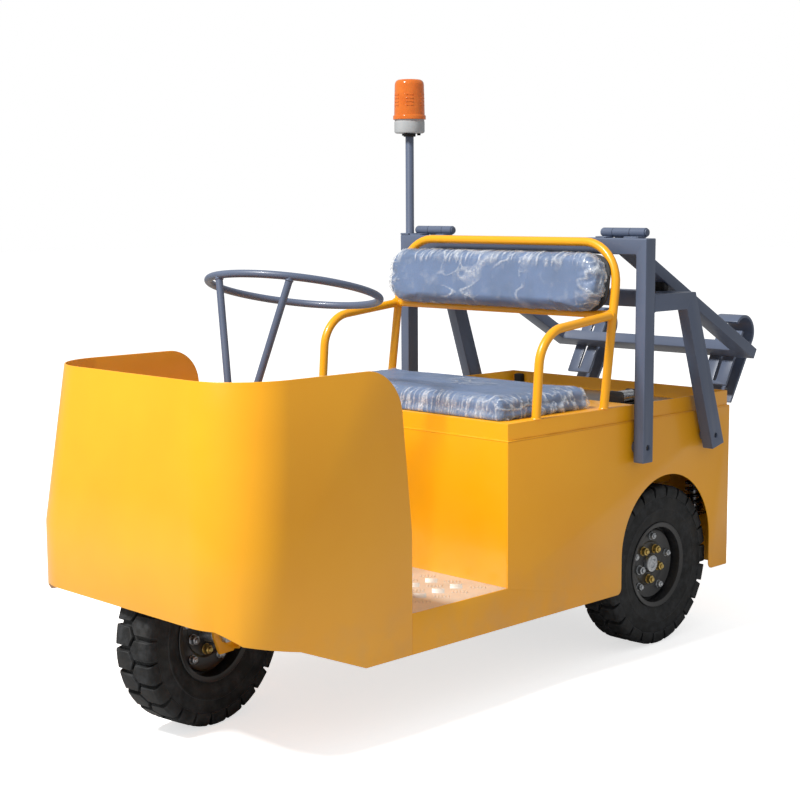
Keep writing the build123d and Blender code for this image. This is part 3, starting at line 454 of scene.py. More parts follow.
# ---------------------------------------------------------------- bench work
class Bench:
    """Hand operations on one mesh at a time, all with Blender's own tools."""

    def __init__(self, name: str) -> None:
        """Name the piece that is about to be made.

        Args:
            name: The piece's name.
        """
        self.name = name
        self.item: Optional[bpy.types.Object] = None

    @staticmethod
    def clear() -> None:
        """Leave edit mode and deselect everything."""
        if bpy.context.object and bpy.context.object.mode != "OBJECT":
            bpy.ops.object.mode_set(mode="OBJECT")
        bpy.ops.object.select_all(action="DESELECT")

    def take(self, item: bpy.types.Object) -> "Bench":
        """Put an object on the bench as this piece."""
        self.item = item
        item.name = self.name
        return self.activate()

    def activate(self) -> "Bench":
        """Make this piece the only one selected."""
        self.clear()
        self.item.select_set(True)
        bpy.context.view_layer.objects.active = self.item
        return self

    def edit(self) -> "Bench":
        """Go into edit mode with all of the mesh selected."""
        self.activate()
        bpy.ops.object.mode_set(mode="EDIT")
        bpy.ops.mesh.select_mode(type="VERT")
        bpy.ops.mesh.select_all(action="SELECT")
        return self

    def done(self) -> "Bench":
        """Leave edit mode."""
        bpy.ops.object.mode_set(mode="OBJECT")
        return self

    def trace(self, points: Iterable[Point]) -> "Bench":
        """Draw a line of edges through points, as extruded one after another.

        Args:
            points: The corners, in order.
        """
        corners = [Vector(p) for p in points]
        self.clear()
        bpy.ops.mesh.primitive_plane_add(size=0.001)
        self.take(bpy.context.object).edit()
        bpy.ops.mesh.merge(type="CENTER")
        bpy.ops.transform.translate(value=corners[0])
        for start, end in zip(corners, corners[1:]):
            bpy.ops.mesh.extrude_region_move(TRANSFORM_OT_translate={"value": end - start})
        return self.done()

    def outline(self, points: Iterable[Point]) -> "Bench":
        """Draw a closed outline and fill it with one face."""
        self.trace(points).edit()
        bpy.ops.mesh.edge_face_add()
        return self.done()

    def extrude(self, move: Point) -> "Bench":
        """Extrude all the faces into a closed solid."""
        self.edit()
        bpy.ops.mesh.extrude_region_move(TRANSFORM_OT_translate={"value": Vector(move)})
        return self.outward()

    def outward(self) -> "Bench":
        """Point every face outwards."""
        self.edit()
        bpy.ops.mesh.normals_make_consistent(inside=False)
        return self.done()

    def spin(self, steps: int, centre: Point, axis: Point, angle: float = 2 * pi) -> "Bench":
        """Spin the traced section about an axis and close the seam.

        Args:
            steps: Steps round the axis.
            centre: A point on the axis.
            axis: The axis' direction.
            angle: How far it goes, in radians.
        """
        self.edit()
        bpy.ops.mesh.spin(steps=steps, angle=angle, center=centre, axis=axis)
        bpy.ops.mesh.select_all(action="SELECT")
        bpy.ops.mesh.remove_doubles(threshold=2 * MERGE)
        return self.outward()

    def lathe(self, section: Sequence[tuple[float, float]], steps: int, axis: str = "Y",
              centre: Point = (0, 0, 0)) -> "Bench":
        """Turn a closed section about an axis.

        Args:
            section: Its corners, each a place along the axis and a distance from it.
            steps: Steps round the axis.
            axis: X, Y or Z.
            centre: A point on the axis, from which the places are counted.
        """
        out = AXES["X" if axis == "Z" else "Z"]
        self.trace(Vector(centre) + AXES[axis] * along + out * radius
                   for along, radius in (*section, section[0]))
        return self.spin(steps, centre, AXES[axis])

    def ring(self, radius: float, count: int) -> "Bench":
        """Trace a closed circle about the Z axis.

        Args:
            radius: The circle's radius.
            count: Corners round it.
        """
        loop = [(radius * cos(2 * pi * k / count), radius * sin(2 * pi * k / count), 0)
                for k in range(count)]
        self.trace(loop + loop[:1]).edit()
        bpy.ops.mesh.remove_doubles(threshold=MERGE)
        return self.done()

    def tube(self, radius: float, resolution: int = 6, pinch: float = 1.0) -> "Bench":
        """Thicken the traced line into a tube with closed ends.

        Args:
            radius: The tube's radius.
            resolution: Steps in each quarter of its section.
            pinch: Share of the radius at every second corner, as in a weld's ripples.
        """
        self.activate()
        bpy.ops.object.convert(target="CURVE")
        curve = self.item.data
        curve.bevel_depth, curve.bevel_resolution, curve.use_fill_caps = radius, resolution, True
        for number, point in enumerate(curve.splines[0].points):
            point.radius = 1.0 if number % 2 else pinch
        bpy.ops.object.convert(target="MESH")
        return self.take(bpy.context.object)

    def block(self, low: Point, high: Point) -> "Bench":
        """A box between two corners, to be shaped further."""
        middle = (Vector(low) + Vector(high)) / 2
        size = Vector(high) - Vector(low)
        self.clear()
        bpy.ops.mesh.primitive_cube_add(size=1)
        self.take(bpy.context.object).edit()
        bpy.ops.transform.resize(value=size)
        bpy.ops.transform.translate(value=middle)
        return self.done()

    def rod(self, radius: float, low: float, high: float, sides: int = 24,
            axis: str = "Z", centre: Point = (0, 0, 0)) -> "Bench":
        """A round bar along an axis, to be shaped further.

        Args:
            radius: Its radius.
            low: Where it starts along the axis.
            high: Where it ends.
            sides: Faces round it.
            axis: X, Y or Z.
            centre: A point on the axis that low and high are counted from.
        """
        self.clear()
        bpy.ops.mesh.primitive_cylinder_add(vertices=sides, radius=radius, depth=high - low)
        self.take(bpy.context.object).edit()
        bpy.ops.transform.translate(value=(0, 0, (low + high) / 2))
        turn = {"X": Matrix.Rotation(pi / 2, 4, "Y"), "Y": Matrix.Rotation(-pi / 2, 4, "X"),
                "Z": Matrix.Identity(4)}[axis]
        self.done()
        return self.shift(Matrix.Translation(Vector(centre)) @ turn)

    def shift(self, matrix: Matrix) -> "Bench":
        """Move the mesh itself by a matrix, so that its object stays at the origin."""
        self.item.data.transform(matrix)
        self.item.data.update()
        return self

    def pick(self, kind: str, test: Callable[[Any], bool]) -> None:
        """Select what a test takes and nothing else, and stay in edit mode.

        Args:
            kind: vertices, edges or polygons.
            test: Takes a vertex's place, the places of an edge's two ends, or a face.
        """
        modes = {"vertices": "VERT", "edges": "EDGE", "polygons": "FACE"}
        self.edit()
        bpy.ops.mesh.select_mode(type=modes[kind])
        bpy.ops.mesh.select_all(action="DESELECT")
        self.done()
        mesh = self.item.data
        for element in getattr(mesh, kind):
            if kind == "vertices":
                element.select = test(element.co)
            elif kind == "edges":
                element.select = test([mesh.vertices[v].co for v in element.vertices])
            else:
                element.select = test(element)
        bpy.ops.object.mode_set(mode="EDIT")

    def end_chamfer(self, inset: float, rise: float, axis: str = "Z") -> "Bench":
        """Chamfer an end: inset the face that looks along an axis and raise it.

        Args:
            inset: How far the face draws in.
            rise: How far it is raised.
            axis: X, Y or Z.
        """
        self.pick("polygons", lambda face: face.normal.dot(AXES[axis]) > 0.9)
        bpy.ops.mesh.inset(thickness=inset)
        bpy.ops.transform.translate(value=AXES[axis] * rise)
        return self.done()

    def modify(self, kind: str, **settings: Any) -> "Bench":
        """Add a modifier with its settings and apply it."""
        self.activate()
        made = self.item.modifiers.new(kind.title(), kind)
        for key, value in settings.items():
            setattr(made, key, value)
        bpy.ops.object.modifier_apply(modifier=made.name)
        return self

    def ease(self, width: float, segments: int = 2, angle: float = 30) -> "Bench":
        """Round the edges sharper than an angle, in degrees."""
        return self.modify("BEVEL", width=width, segments=segments, limit_method="ANGLE",
                           angle_limit=radians(angle), use_clamp_overlap=True,
                           miter_outer="MITER_ARC" if segments > 1 else "MITER_SHARP")

    def smooth(self, angle: float = 35) -> "Bench":
        """Shade smooth, with edges sharper than the angle left crisp."""
        self.activate()
        bpy.ops.object.shade_smooth_by_angle(angle=radians(angle))
        return self

    def dress(self, finish: Finish) -> "Bench":
        """Give the whole piece one finish."""
        self.item.data.materials.clear()
        self.item.data.materials.append(finish.material())
        return self

    def copies(self, places: Iterable[Matrix]) -> "Bench":
        """Copy the piece to each place, each copy with its own mesh, and join them as one."""
        made = []
        for place in places:
            copy = self.item.copy()
            copy.data = self.item.data.copy()
            copy.data.transform(place)
            bpy.context.scene.collection.objects.link(copy)
            made.append(copy)
        old = self.item
        self.clear()
        for copy in made:
            copy.select_set(True)
        bpy.context.view_layer.objects.active = made[0]
        if len(made) > 1:
            bpy.ops.object.join()
        bpy.data.objects.remove(old)
        return self.take(bpy.context.object)

    def fuse(self, *others: "Bench") -> "Bench":
        """Join other pieces into this one."""
        self.activate()
        for other in others:
            other.item.select_set(True)
        bpy.ops.object.join()
        return self.take(bpy.context.object)

    def mount(self, body: str, slot: str, *nodes: str) -> "Bench":
        """Ride on a CAD body and stand for CAD nodes.

        Args:
            body: The body that it moves with.
            slot: The record's material slot; not used.
            *nodes: CAD nodes that it stands for.
        """
        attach(self.item, body)
        if nodes:
            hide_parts(*nodes)
        log.info("%s: %d faces on %s", self.item.name, len(self.item.data.polygons), body)
        return self


def joined(name: str, parts: Sequence[Bench]) -> Bench:
    """Join pieces into one under a new name."""
    parts[0].name = name
    return parts[0].fuse(*parts[1:])


def ring_places(count: int, axis: str, start: float = 0.0) -> list[Matrix]:
    """Turns about an axis through the origin, evenly spaced from a start in radians."""
    return [Matrix.Rotation(start + 2 * pi * k / count, 4, axis) for k in range(count)]


def aimed(at: Point, normal: Point, up: str = "X") -> Matrix:
    """Frame at a point, its z along the normal and its X or Y upwards."""
    turn = Vector(normal).to_track_quat("Z", up).to_matrix().to_4x4()
    return Matrix.Translation(Vector(at)) @ turn


def eased_copy(node: str, name: str, width: float, segments: int = 2) -> Bench:
    """A merged copy of a CAD node with its edges rounded, ready to be dressed.

    Args:
        node: The CAD node.
        name: The new piece's name.
        width: Width of the rounding.
        segments: Segments across the rounding.

    Returns:
        The copy on its bench.
    """
    source = frame["nodes"][node]
    copy = bpy.data.objects.new(name, source.data.copy())
    bpy.context.scene.collection.objects.link(copy)
    bench = Bench(name).take(copy).edit()
    bpy.ops.mesh.remove_doubles(threshold=MERGE)
    bpy.ops.mesh.dissolve_limited(angle_limit=radians(1.0))
    bench.done()
    if copy.data.has_custom_normals:
        bench.activate()
        bpy.ops.mesh.customdata_custom_splitnormals_clear()
    return bench.ease(width, segments).smooth(40)


def joint_of(name: str) -> dict:
    """The record's joint of that name."""
    return next(j for j in frame["joints"] if j["name"] == name)


def ahead(reach_mm: float) -> float:
    """X of a station given in millimetres ahead of the rear axle."""
    return joint_of("rear_left_wheel_spin")["pos_m"][0] + reach_mm * MM


def across(y_mm: float) -> float:
    """Y of a place given in millimetres to the left of the machine's centre plane."""
    return joint_of("fork_turn")["pos_m"][1] + y_mm * MM


# ---------------------------------------------------------------- studio
@dataclass
class Studio:
    """Camera, lamps, white surroundings and a pale floor that keeps the machine's shadow."""

    camera_at: Point = (2.8461, 2.72785, 1.1415)
    tilt: float = 82.82
    heading: float = 135.18
    roll: float = -0.31
    lens_mm: float = 70.785
    key_at: Point = (4.8, -0.4, 6.2)
    key_watts: float = 670.0
    key_size: float = 1.1
    fill_strength: float = 0.49
    gloss_strength: float = 0.46
    floor_size: float = 60.0

    def make(self) -> None:
        """Set the studio up."""
        self.camera()
        self.lamp()
        self.surroundings()
        self.floor()

    def camera(self) -> None:
        """Create the camera and look through it."""
        data = bpy.data.cameras.new("camera")
        data.lens, data.sensor_width = self.lens_mm, 36.0
        camera = bpy.data.objects.new("camera", data)
        turn = (Matrix.Rotation(radians(self.heading), 4, "Z")
                @ Matrix.Rotation(radians(self.tilt), 4, "X")
                @ Matrix.Rotation(radians(self.roll), 4, "Z"))
        camera.matrix_world = Matrix.Translation(Vector(self.camera_at)) @ turn
        bpy.context.scene.collection.objects.link(camera)
        bpy.context.scene.camera = camera

    def lamp(self) -> None:
        """One large soft lamp, ahead of the machine and high."""
        data = bpy.data.lights.new("key", "AREA")
        data.energy, data.size, data.color = self.key_watts, self.key_size, (1.0, 0.985, 0.955)
        lamp = bpy.data.objects.new("key", data)
        lamp.location = self.key_at
        aim = Vector((0.1, 0, 0.5)) - Vector(self.key_at)
        lamp.rotation_euler = aim.to_track_quat("-Z", "Y").to_euler()
        bpy.context.scene.collection.objects.link(lamp)

    def seen(self, tree: bpy.types.NodeTree, plain: float) -> bpy.types.NodeSocket:
        """Strength of a white surrounding: full where it is seen, less where it only lights.

        Args:
            tree: The node tree.
            plain: Strength for rays off dull surfaces.

        Returns:
            The strength's socket.
        """
        rays = add_node(tree, "ShaderNodeLightPath")
        direct = add_node(tree, "ShaderNodeMath", {"operation": "MAXIMUM"}, {
            0: rays.outputs["Is Camera Ray"], 1: rays.outputs["Is Transmission Ray"]})
        gloss = add_node(tree, "ShaderNodeMapRange", {
            "To Min": plain, "To Max": self.gloss_strength},
            {"Value": rays.outputs["Is Glossy Ray"]})
        return add_node(tree, "ShaderNodeMath", {"operation": "MAXIMUM"},
                        {0: direct.outputs[0], 1: gloss.outputs[0]}).outputs[0]

    def surroundings(self) -> None:
        """An even white world, seen at full white and lighting the machine less."""
        world = bpy.data.worlds.new("studio")
        bpy.context.scene.world = world
        world.use_nodes = True
        tree = world.node_tree
        tree.nodes.clear()
        white = add_node(tree, "ShaderNodeBackground", {"Color": (1.0, 1.0, 1.0, 1.0)},
                         {"Strength": self.seen(tree, self.fill_strength)})
        add_node(tree, "ShaderNodeOutputWorld", links={"Surface": white.outputs[0]})
        bpy.context.scene.view_settings.view_transform = "Standard"

    def floor(self) -> None:
        """A plain floor under the tyres, lifted towards white where it is seen."""
        bpy.ops.object.select_all(action="DESELECT")
        bpy.ops.mesh.primitive_plane_add(size=self.floor_size, location=(0, 0, -0.0004))
        floor = bpy.context.object
        floor.name = "studio_floor"
        material = bpy.data.materials.new("pale_floor_paper")
        material.use_nodes = True
        tree = material.node_tree
        tree.nodes.clear()
        rays = add_node(tree, "ShaderNodeLightPath")
        shade = add_node(tree, "ShaderNodeMix", {"data_type": "RGBA"},
                         {Blend.FACTOR: rays.outputs["Is Camera Ray"]})
        shade.inputs[Blend.LOW].default_value = linear("#C4C4C4")
        shade.inputs[Blend.HIGH].default_value = linear("#F1F1F1")
        paper = add_node(tree, "ShaderNodeBsdfDiffuse",
                         links={"Color": shade.outputs[Blend.RESULT]})
        lift = add_node(tree, "ShaderNodeMapRange", {"To Max": 0.66},
                        {"Value": rays.outputs["Is Camera Ray"]})
        glow = add_node(tree, "ShaderNodeEmission", links={"Strength": lift.outputs[0]})
        both = add_node(tree, "ShaderNodeAddShader",
                        links={0: paper.outputs[0], 1: glow.outputs[0]})
        add_node(tree, "ShaderNodeOutputMaterial", links={"Surface": both.outputs[0]})
        floor.data.materials.append(material)


# ---------------------------------------------------------------- wheels
@dataclass
class RoadWheel:
    """One industrial wheel: a block-tread tyre on a deep black rim, its nuts and its hub."""

    name: str
    body: str
    joint: str
    outward: int = 1
    radius: float = 0.2075
    blocks: int = 24
    nut_ring: float = 0.042
    clamp_ring: float = 0.072
    nut_turn: float = 55.0
    clamp_turn: float = 22.0
    gold_nuts: int = 4

    def frame_matrix(self) -> Matrix:
        """The wheel's own frame, its axle along Y, put at its place on the machine."""
        joint = joint_of(self.joint)
        out = Vector(joint["axis"]) * self.outward
        up = Vector((0, 0, 1))
        forward = out.cross(up)
        turn = Matrix((forward, out, up)).transposed().to_4x4()
        return Matrix.Translation(Vector(joint["pos_m"])) @ turn

    def make(self) -> None:
        """Build and mount the wheel's pieces."""
        place = self.frame_matrix()
        self.tyre().shift(place).mount(self.body, "tyre_rubber", f"{self.name}_tyre")
        self.rim().shift(place).mount(self.body, "dark_paint", f"{self.name}_rim")
        self.hub().shift(place).mount(self.body, "dark_paint", f"{self.name}_hub")
        for piece in self.fasteners():
            piece.shift(place).mount(self.body, "zinc_steel")

    def tyre(self) -> Bench:
        """Casing with sidewall ribs, and two rows of blocks staggered across a zigzag groove."""
        half = [(0.0385, 0.1016), (0.0425, 0.1030), (0.0430, 0.1105), (0.0450, 0.1135),
                (0.0462, 0.1180), (0.0498, 0.1270), (0.0515, 0.1385), (0.0519, 0.1440),
                (0.0527, 0.1452), (0.0527, 0.1480), (0.0518, 0.1492), (0.0512, 0.1600),
                (0.0504, 0.1680), (0.0496, 0.1760), (0.0470, 0.1860), (0.0430, 0.1935),
                (0.0330, 0.1968), (0.0160, 0.1980)]
        section = half + [(-y, r) for y, r in reversed(half)]
        casing = Bench(f"tyre_{self.name}").lathe(section, 96)
        left, right = self.tread_row(0.0), self.tread_row(0.5)
        right.shift(Matrix.Scale(-1, 4, Vector((0, 1, 0)))).outward()
        return casing.fuse(left, right).smooth(32).dress(Finish.RUBBER)

    def tread_row(self, offset: float) -> Bench:
        """One row of blocks, each pointed towards the middle groove.

        Args:
            offset: Turn of the row, as a share of one block's pitch.

        Returns:
            The row, round the wheel's own axle.
        """
        half_long, point, ground = 0.0215, 0.0110, 0.2
        chord = self.radius * cos(half_long / self.radius)
        section = [(0.0075, 0.1950), (0.0082, chord), (0.0455, chord - 0.0006),
                   (0.0520, 0.1990), (0.0529, 0.1860), (0.0519, 0.1775), (0.0470, 0.1765),
                   (0.0420, 0.1900)]
        block = Bench("block").outline((-half_long, y, r) for y, r in section)
        block.edit()
        for _ in range(2):
            bpy.ops.mesh.extrude_region_move(TRANSFORM_OT_translate={"value": (half_long, 0, 0)})
        block.pick("vertices", lambda p: abs(p.x) < MERGE and p.y < half_long)
        bpy.ops.transform.translate(value=(0, -point, 0))
        block.pick("vertices", lambda p: abs(p.x) < MERGE and p.z > ground)
        bpy.ops.transform.translate(value=(0, 0, self.radius - chord))
        # draft: the blocks are a little longer at their feet
        block.pick("vertices", lambda p: abs(p.x) > MERGE and p.z > ground)
        bpy.ops.transform.resize(value=(0.965, 1, 1), center_override=(0, 0, ground))
        block.outward().ease(0.0011, 1, 25)
        return block.copies(ring_places(self.blocks, "Y", 2 * pi * offset / self.blocks))

    def rim(self) -> Bench:
        """Rolled rim with a flat disc set deep in it, stepped down to the hub."""
        barrel = [(0.0468, 0.1092), (0.0458, 0.1104), (0.0428, 0.1104), (0.0422, 0.1046),
                  (0.0400, 0.1014), (-0.0400, 0.1014), (-0.0422, 0.1046), (-0.0428, 0.1104),
                  (-0.0458, 0.1104), (-0.0468, 0.1092), (-0.0452, 0.1046), (-0.0436, 0.0985),
                  (-0.0400, 0.0972), (0.0400, 0.0972), (0.0436, 0.0985), (0.0452, 0.1046)]
        disc = [(0.0125, 0.0975), (0.0125, 0.0930), (0.0205, 0.0905), (0.0222, 0.0880),
                (0.0205, 0.0855), (0.0188, 0.0830), (0.0188, 0.0610), (0.0182, 0.0590),
                (0.0158, 0.0560), (0.0152, 0.0540), (0.0152, 0.0300), (0.0166, 0.0270),
                (0.0166, 0.0234), (0.0112, 0.0234), (0.0112, 0.0560), (0.0136, 0.0620),
                (0.0136, 0.0830), (0.0060, 0.0925), (0.0060, 0.0975)]
        parts = [Bench("rim").lathe(section, 72) for section in (barrel, disc)]
        return joined(f"rim_{self.name}", parts).smooth(38).dress(Finish.BLACK)

    def hub(self) -> Bench:
        """Hub barrel behind the disc, bored for its axle, with a pressed cap in front."""
        low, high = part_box(f"{self.name}_hub")
        centre = Vector(joint_of(self.joint)["pos_m"])
        front = self.name == "front"
        inner = -0.058 if front else -abs((low if self.outward > 0 else high).y - centre.y)
        bore, blind, nose = (0.0104, 0.058, 0.058) if front else (0.0174, 0.0180, 0.0300)
        body = [(inner, bore), (inner, 0.0368), (inner + 0.0012, 0.0380), (0.0010, 0.0380),
                (0.0030, 0.0400), (0.0030, 0.0565), (0.0042, 0.0578), (0.0110, 0.0578),
                (0.0110, 0.0229), (nose - 0.0040, 0.0229), (nose - 0.0012, 0.0214),
                (nose - 0.0002, 0.0180), (nose - 0.0002, 0.0120)]
        if blind < nose:
            body += [(nose - 0.0028, 0.0100), (nose - 0.0028, 0.0), (blind, 0.0), (blind, bore)]
        else:
            body += [(nose - 0.0002, bore)]
        piece = Bench(f"hub_{self.name}").lathe(body, 48).smooth(35).dress(Finish.BLACK)
        piece.item.data.materials.append(Finish.BRIGHT.material())
        for face in piece.item.data.polygons:
            if face.center.y > 0.012:
                face.material_index = 1
        return piece

    def nut(self, across_flats: float, height: float, stud: float, seat: float) -> Bench:
        """A chamfered hexagon nut on its washer, with the stud's end through it.

        Args:
            across_flats: Width over the nut's flats.
            height: The nut's height.
            stud: How far the stud stands out.
            seat: Where the washer lies along the axle.

        Returns:
            The fastener at the axle, pointing outwards.
        """
        foot = seat + 0.002
        body = Bench("nut").rod(across_flats / sqrt(3), foot, foot + height, 6, "Y")
        body.end_chamfer(across_flats * 0.09, 0.0009, "Y").ease(0.0005, 1)
        washer = Bench("washer").rod(across_flats * 0.64, seat, foot + 0.0001, 24, "Y")
        thread = Bench("stud").rod(across_flats * 0.31, seat, foot + height + stud, 14, "Y")
        thread.end_chamfer(0.0012, 0.0010, "Y")
        return body.fuse(washer.ease(0.0004, 1), thread)

    def fasteners(self) -> list[Bench]:
        """Wheel nuts round the hub and clamp nuts further out."""
        sets = []
        wheel = (0.019, 0.0100, 0.0045, 0.0152, self.nut_ring, self.nut_turn)
        clamp = (0.016, 0.0080, 0.0030, 0.0188, self.clamp_ring, self.clamp_turn)
        plans = (("wheel_nuts", wheel, range(self.gold_nuts), Finish.GOLD),
                 ("last_nut", wheel, range(self.gold_nuts, 5), Finish.BRIGHT),
                 ("clamp_nuts", clamp, range(5), Finish.BRIGHT))
        for name, (flats, height, stud, seat, ring, turn), numbers, finish in plans:
            nut = self.nut(flats, height, stud, seat)
            nut.name = f"{name}_{self.name}"
            # angles are counted from forward towards up, and these turns go the other way
            places = [Matrix.Rotation(-radians(turn + 72 * k), 4, "Y")
                      @ Matrix.Translation((ring, 0, 0)) for k in numbers]
            sets.append(nut.copies(places).smooth(30).dress(finish))
        return sets


# ---------------------------------------------------------------- sheet metal
@dataclass
class Panels:
    """Sheet and section pieces kept at their CAD size, their edges rolled or dressed round."""

    plan: tuple = (
        # node, finish, edge rounding in millimetres, segments
        ("cowl", Finish.YELLOW, 1.2, 2),
        ("side_panel_left", Finish.YELLOW, 1.0, 2),
        ("side_panel_right", Finish.YELLOW, 1.0, 2),
        ("box_front_panel", Finish.YELLOW, 0.8, 2),
        ("box_rear_panel", Finish.YELLOW, 0.8, 2),
        ("box_rim", Finish.YELLOW, 1.2, 2),
        ("seat_board", Finish.YELLOW, 1.2, 2),
        ("wheel_box", Finish.YELLOW, 1.0, 2),
        ("steering_box", Finish.YELLOW, 2.0, 2),
        ("head_bearing", Finish.YELLOW, 1.5, 2),
        ("front_fork", Finish.YELLOW, 1.2, 2),
        ("chassis_frame", Finish.YELLOW, 3.0, 2),
        ("tow_hitch", Finish.YELLOW, 2.0, 2),
        ("portal_frame", Finish.SLATE, 2.6, 3),
        ("rear_stays", Finish.SLATE, 2.6, 3),
        ("steering_column", Finish.SLATE, 1.0, 2),
        ("beacon_pole", Finish.SLATE, 1.0, 2),
        ("deck_plate", Finish.DECK, 0.6, 1),
        ("floor_plate", Finish.TREAD, 0.6, 1),
        ("battery", Finish.BATTERY, 8.0, 3),
        ("drive_motor", Finish.IRON, 4.0, 2),
        ("rear_axle", Finish.BLACK, 3.0, 2),
        ("trailing_arms", Finish.BLACK, 1.5, 2),
        ("front_axle", Finish.BRIGHT, 0.8, 1),
        ("backrest_board", Finish.BOARD, 1.2, 2),
        ("rest_pads", Finish.BUFFER, 3.0, 2),
    )

    def make(self) -> None:
        """Copy, ease and dress each node."""
        slots = {s["node"]: s["material_slot"] for s in frame["record"]["subparts"]}
        for node, finish, width, segments in self.plan:
            piece = eased_copy(node, f"{node}_sheet" if finish is Finish.YELLOW else
                               f"{node}_finished", width * MM, segments)
            piece.dress(finish)
            piece.mount(frame["nodes"][node]["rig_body"], slots[node], node)


# ---------------------------------------------------------------- tubes
def bent_tube(name: str, points: Sequence[Point], bend: float, radius: float) -> Bench:
    """A round tube bent along straight runs.

    Args:
        name: The piece's name.
        points: The corners of its centre line.
        bend: Bend radius of the centre line, zero for none.
        radius: The tube's radius.

    Returns:
        The tube as a mesh, its ends closed.
    """
    line = Bench(name).trace(points)
    if bend > 0:
        corners = [Vector(p) for p in points]
        for before, corner, after in zip(corners, corners[1:], corners[2:]):
            turn = (corner - before).angle(after - corner)
            line.pick("vertices", lambda p, c=corner: (p - c).length < MERGE)
            bpy.ops.mesh.bevel(offset=bend * tan(turn / 2), segments=10, affect="VERTICES",
                               offset_type="OFFSET")
            line.done()
    line.tube(radius).edit()
    bpy.ops.mesh.remove_doubles(threshold=MERGE)
    return line.outward().smooth(40)


@dataclass
class WeldRun:
    """A stack of overlapped weld ripples along a joint."""

    radius: float = 0.0026
    pitch: float = 0.0030
    ripple: float = 0.78

    def along(self, start: Point, end: Point) -> Bench:
        """One bead with its ripples.

        Args:
            start: Where it starts.
            end: Where it ends.

        Returns:
            The bead.
        """
        a, run = Vector(start), Vector(end) - Vector(start)
        steps = max(2, ceil(run.length / self.pitch) * 2)
        bead = Bench("weld").trace((0, 0, run.length * k / steps) for k in range(steps + 1))
        return bead.tube(self.radius, 1, self.ripple).shift(aimed(a, run)).outward()


# ---------------------------------------------------------------- seat
def ridged(value: float, sharpness: float) -> float:
    """One along the zero lines of a noise and falling to zero away from them."""
    return max(0.0, 1.0 - abs(value) * sharpness)


def ease_between(value: float, low: float, high: float) -> float:
    """Zero below low, one above high and smooth between."""
    share = min(1.0, max(0.0, (value - low) / (high - low)))
    return share * share * (3 - 2 * share)


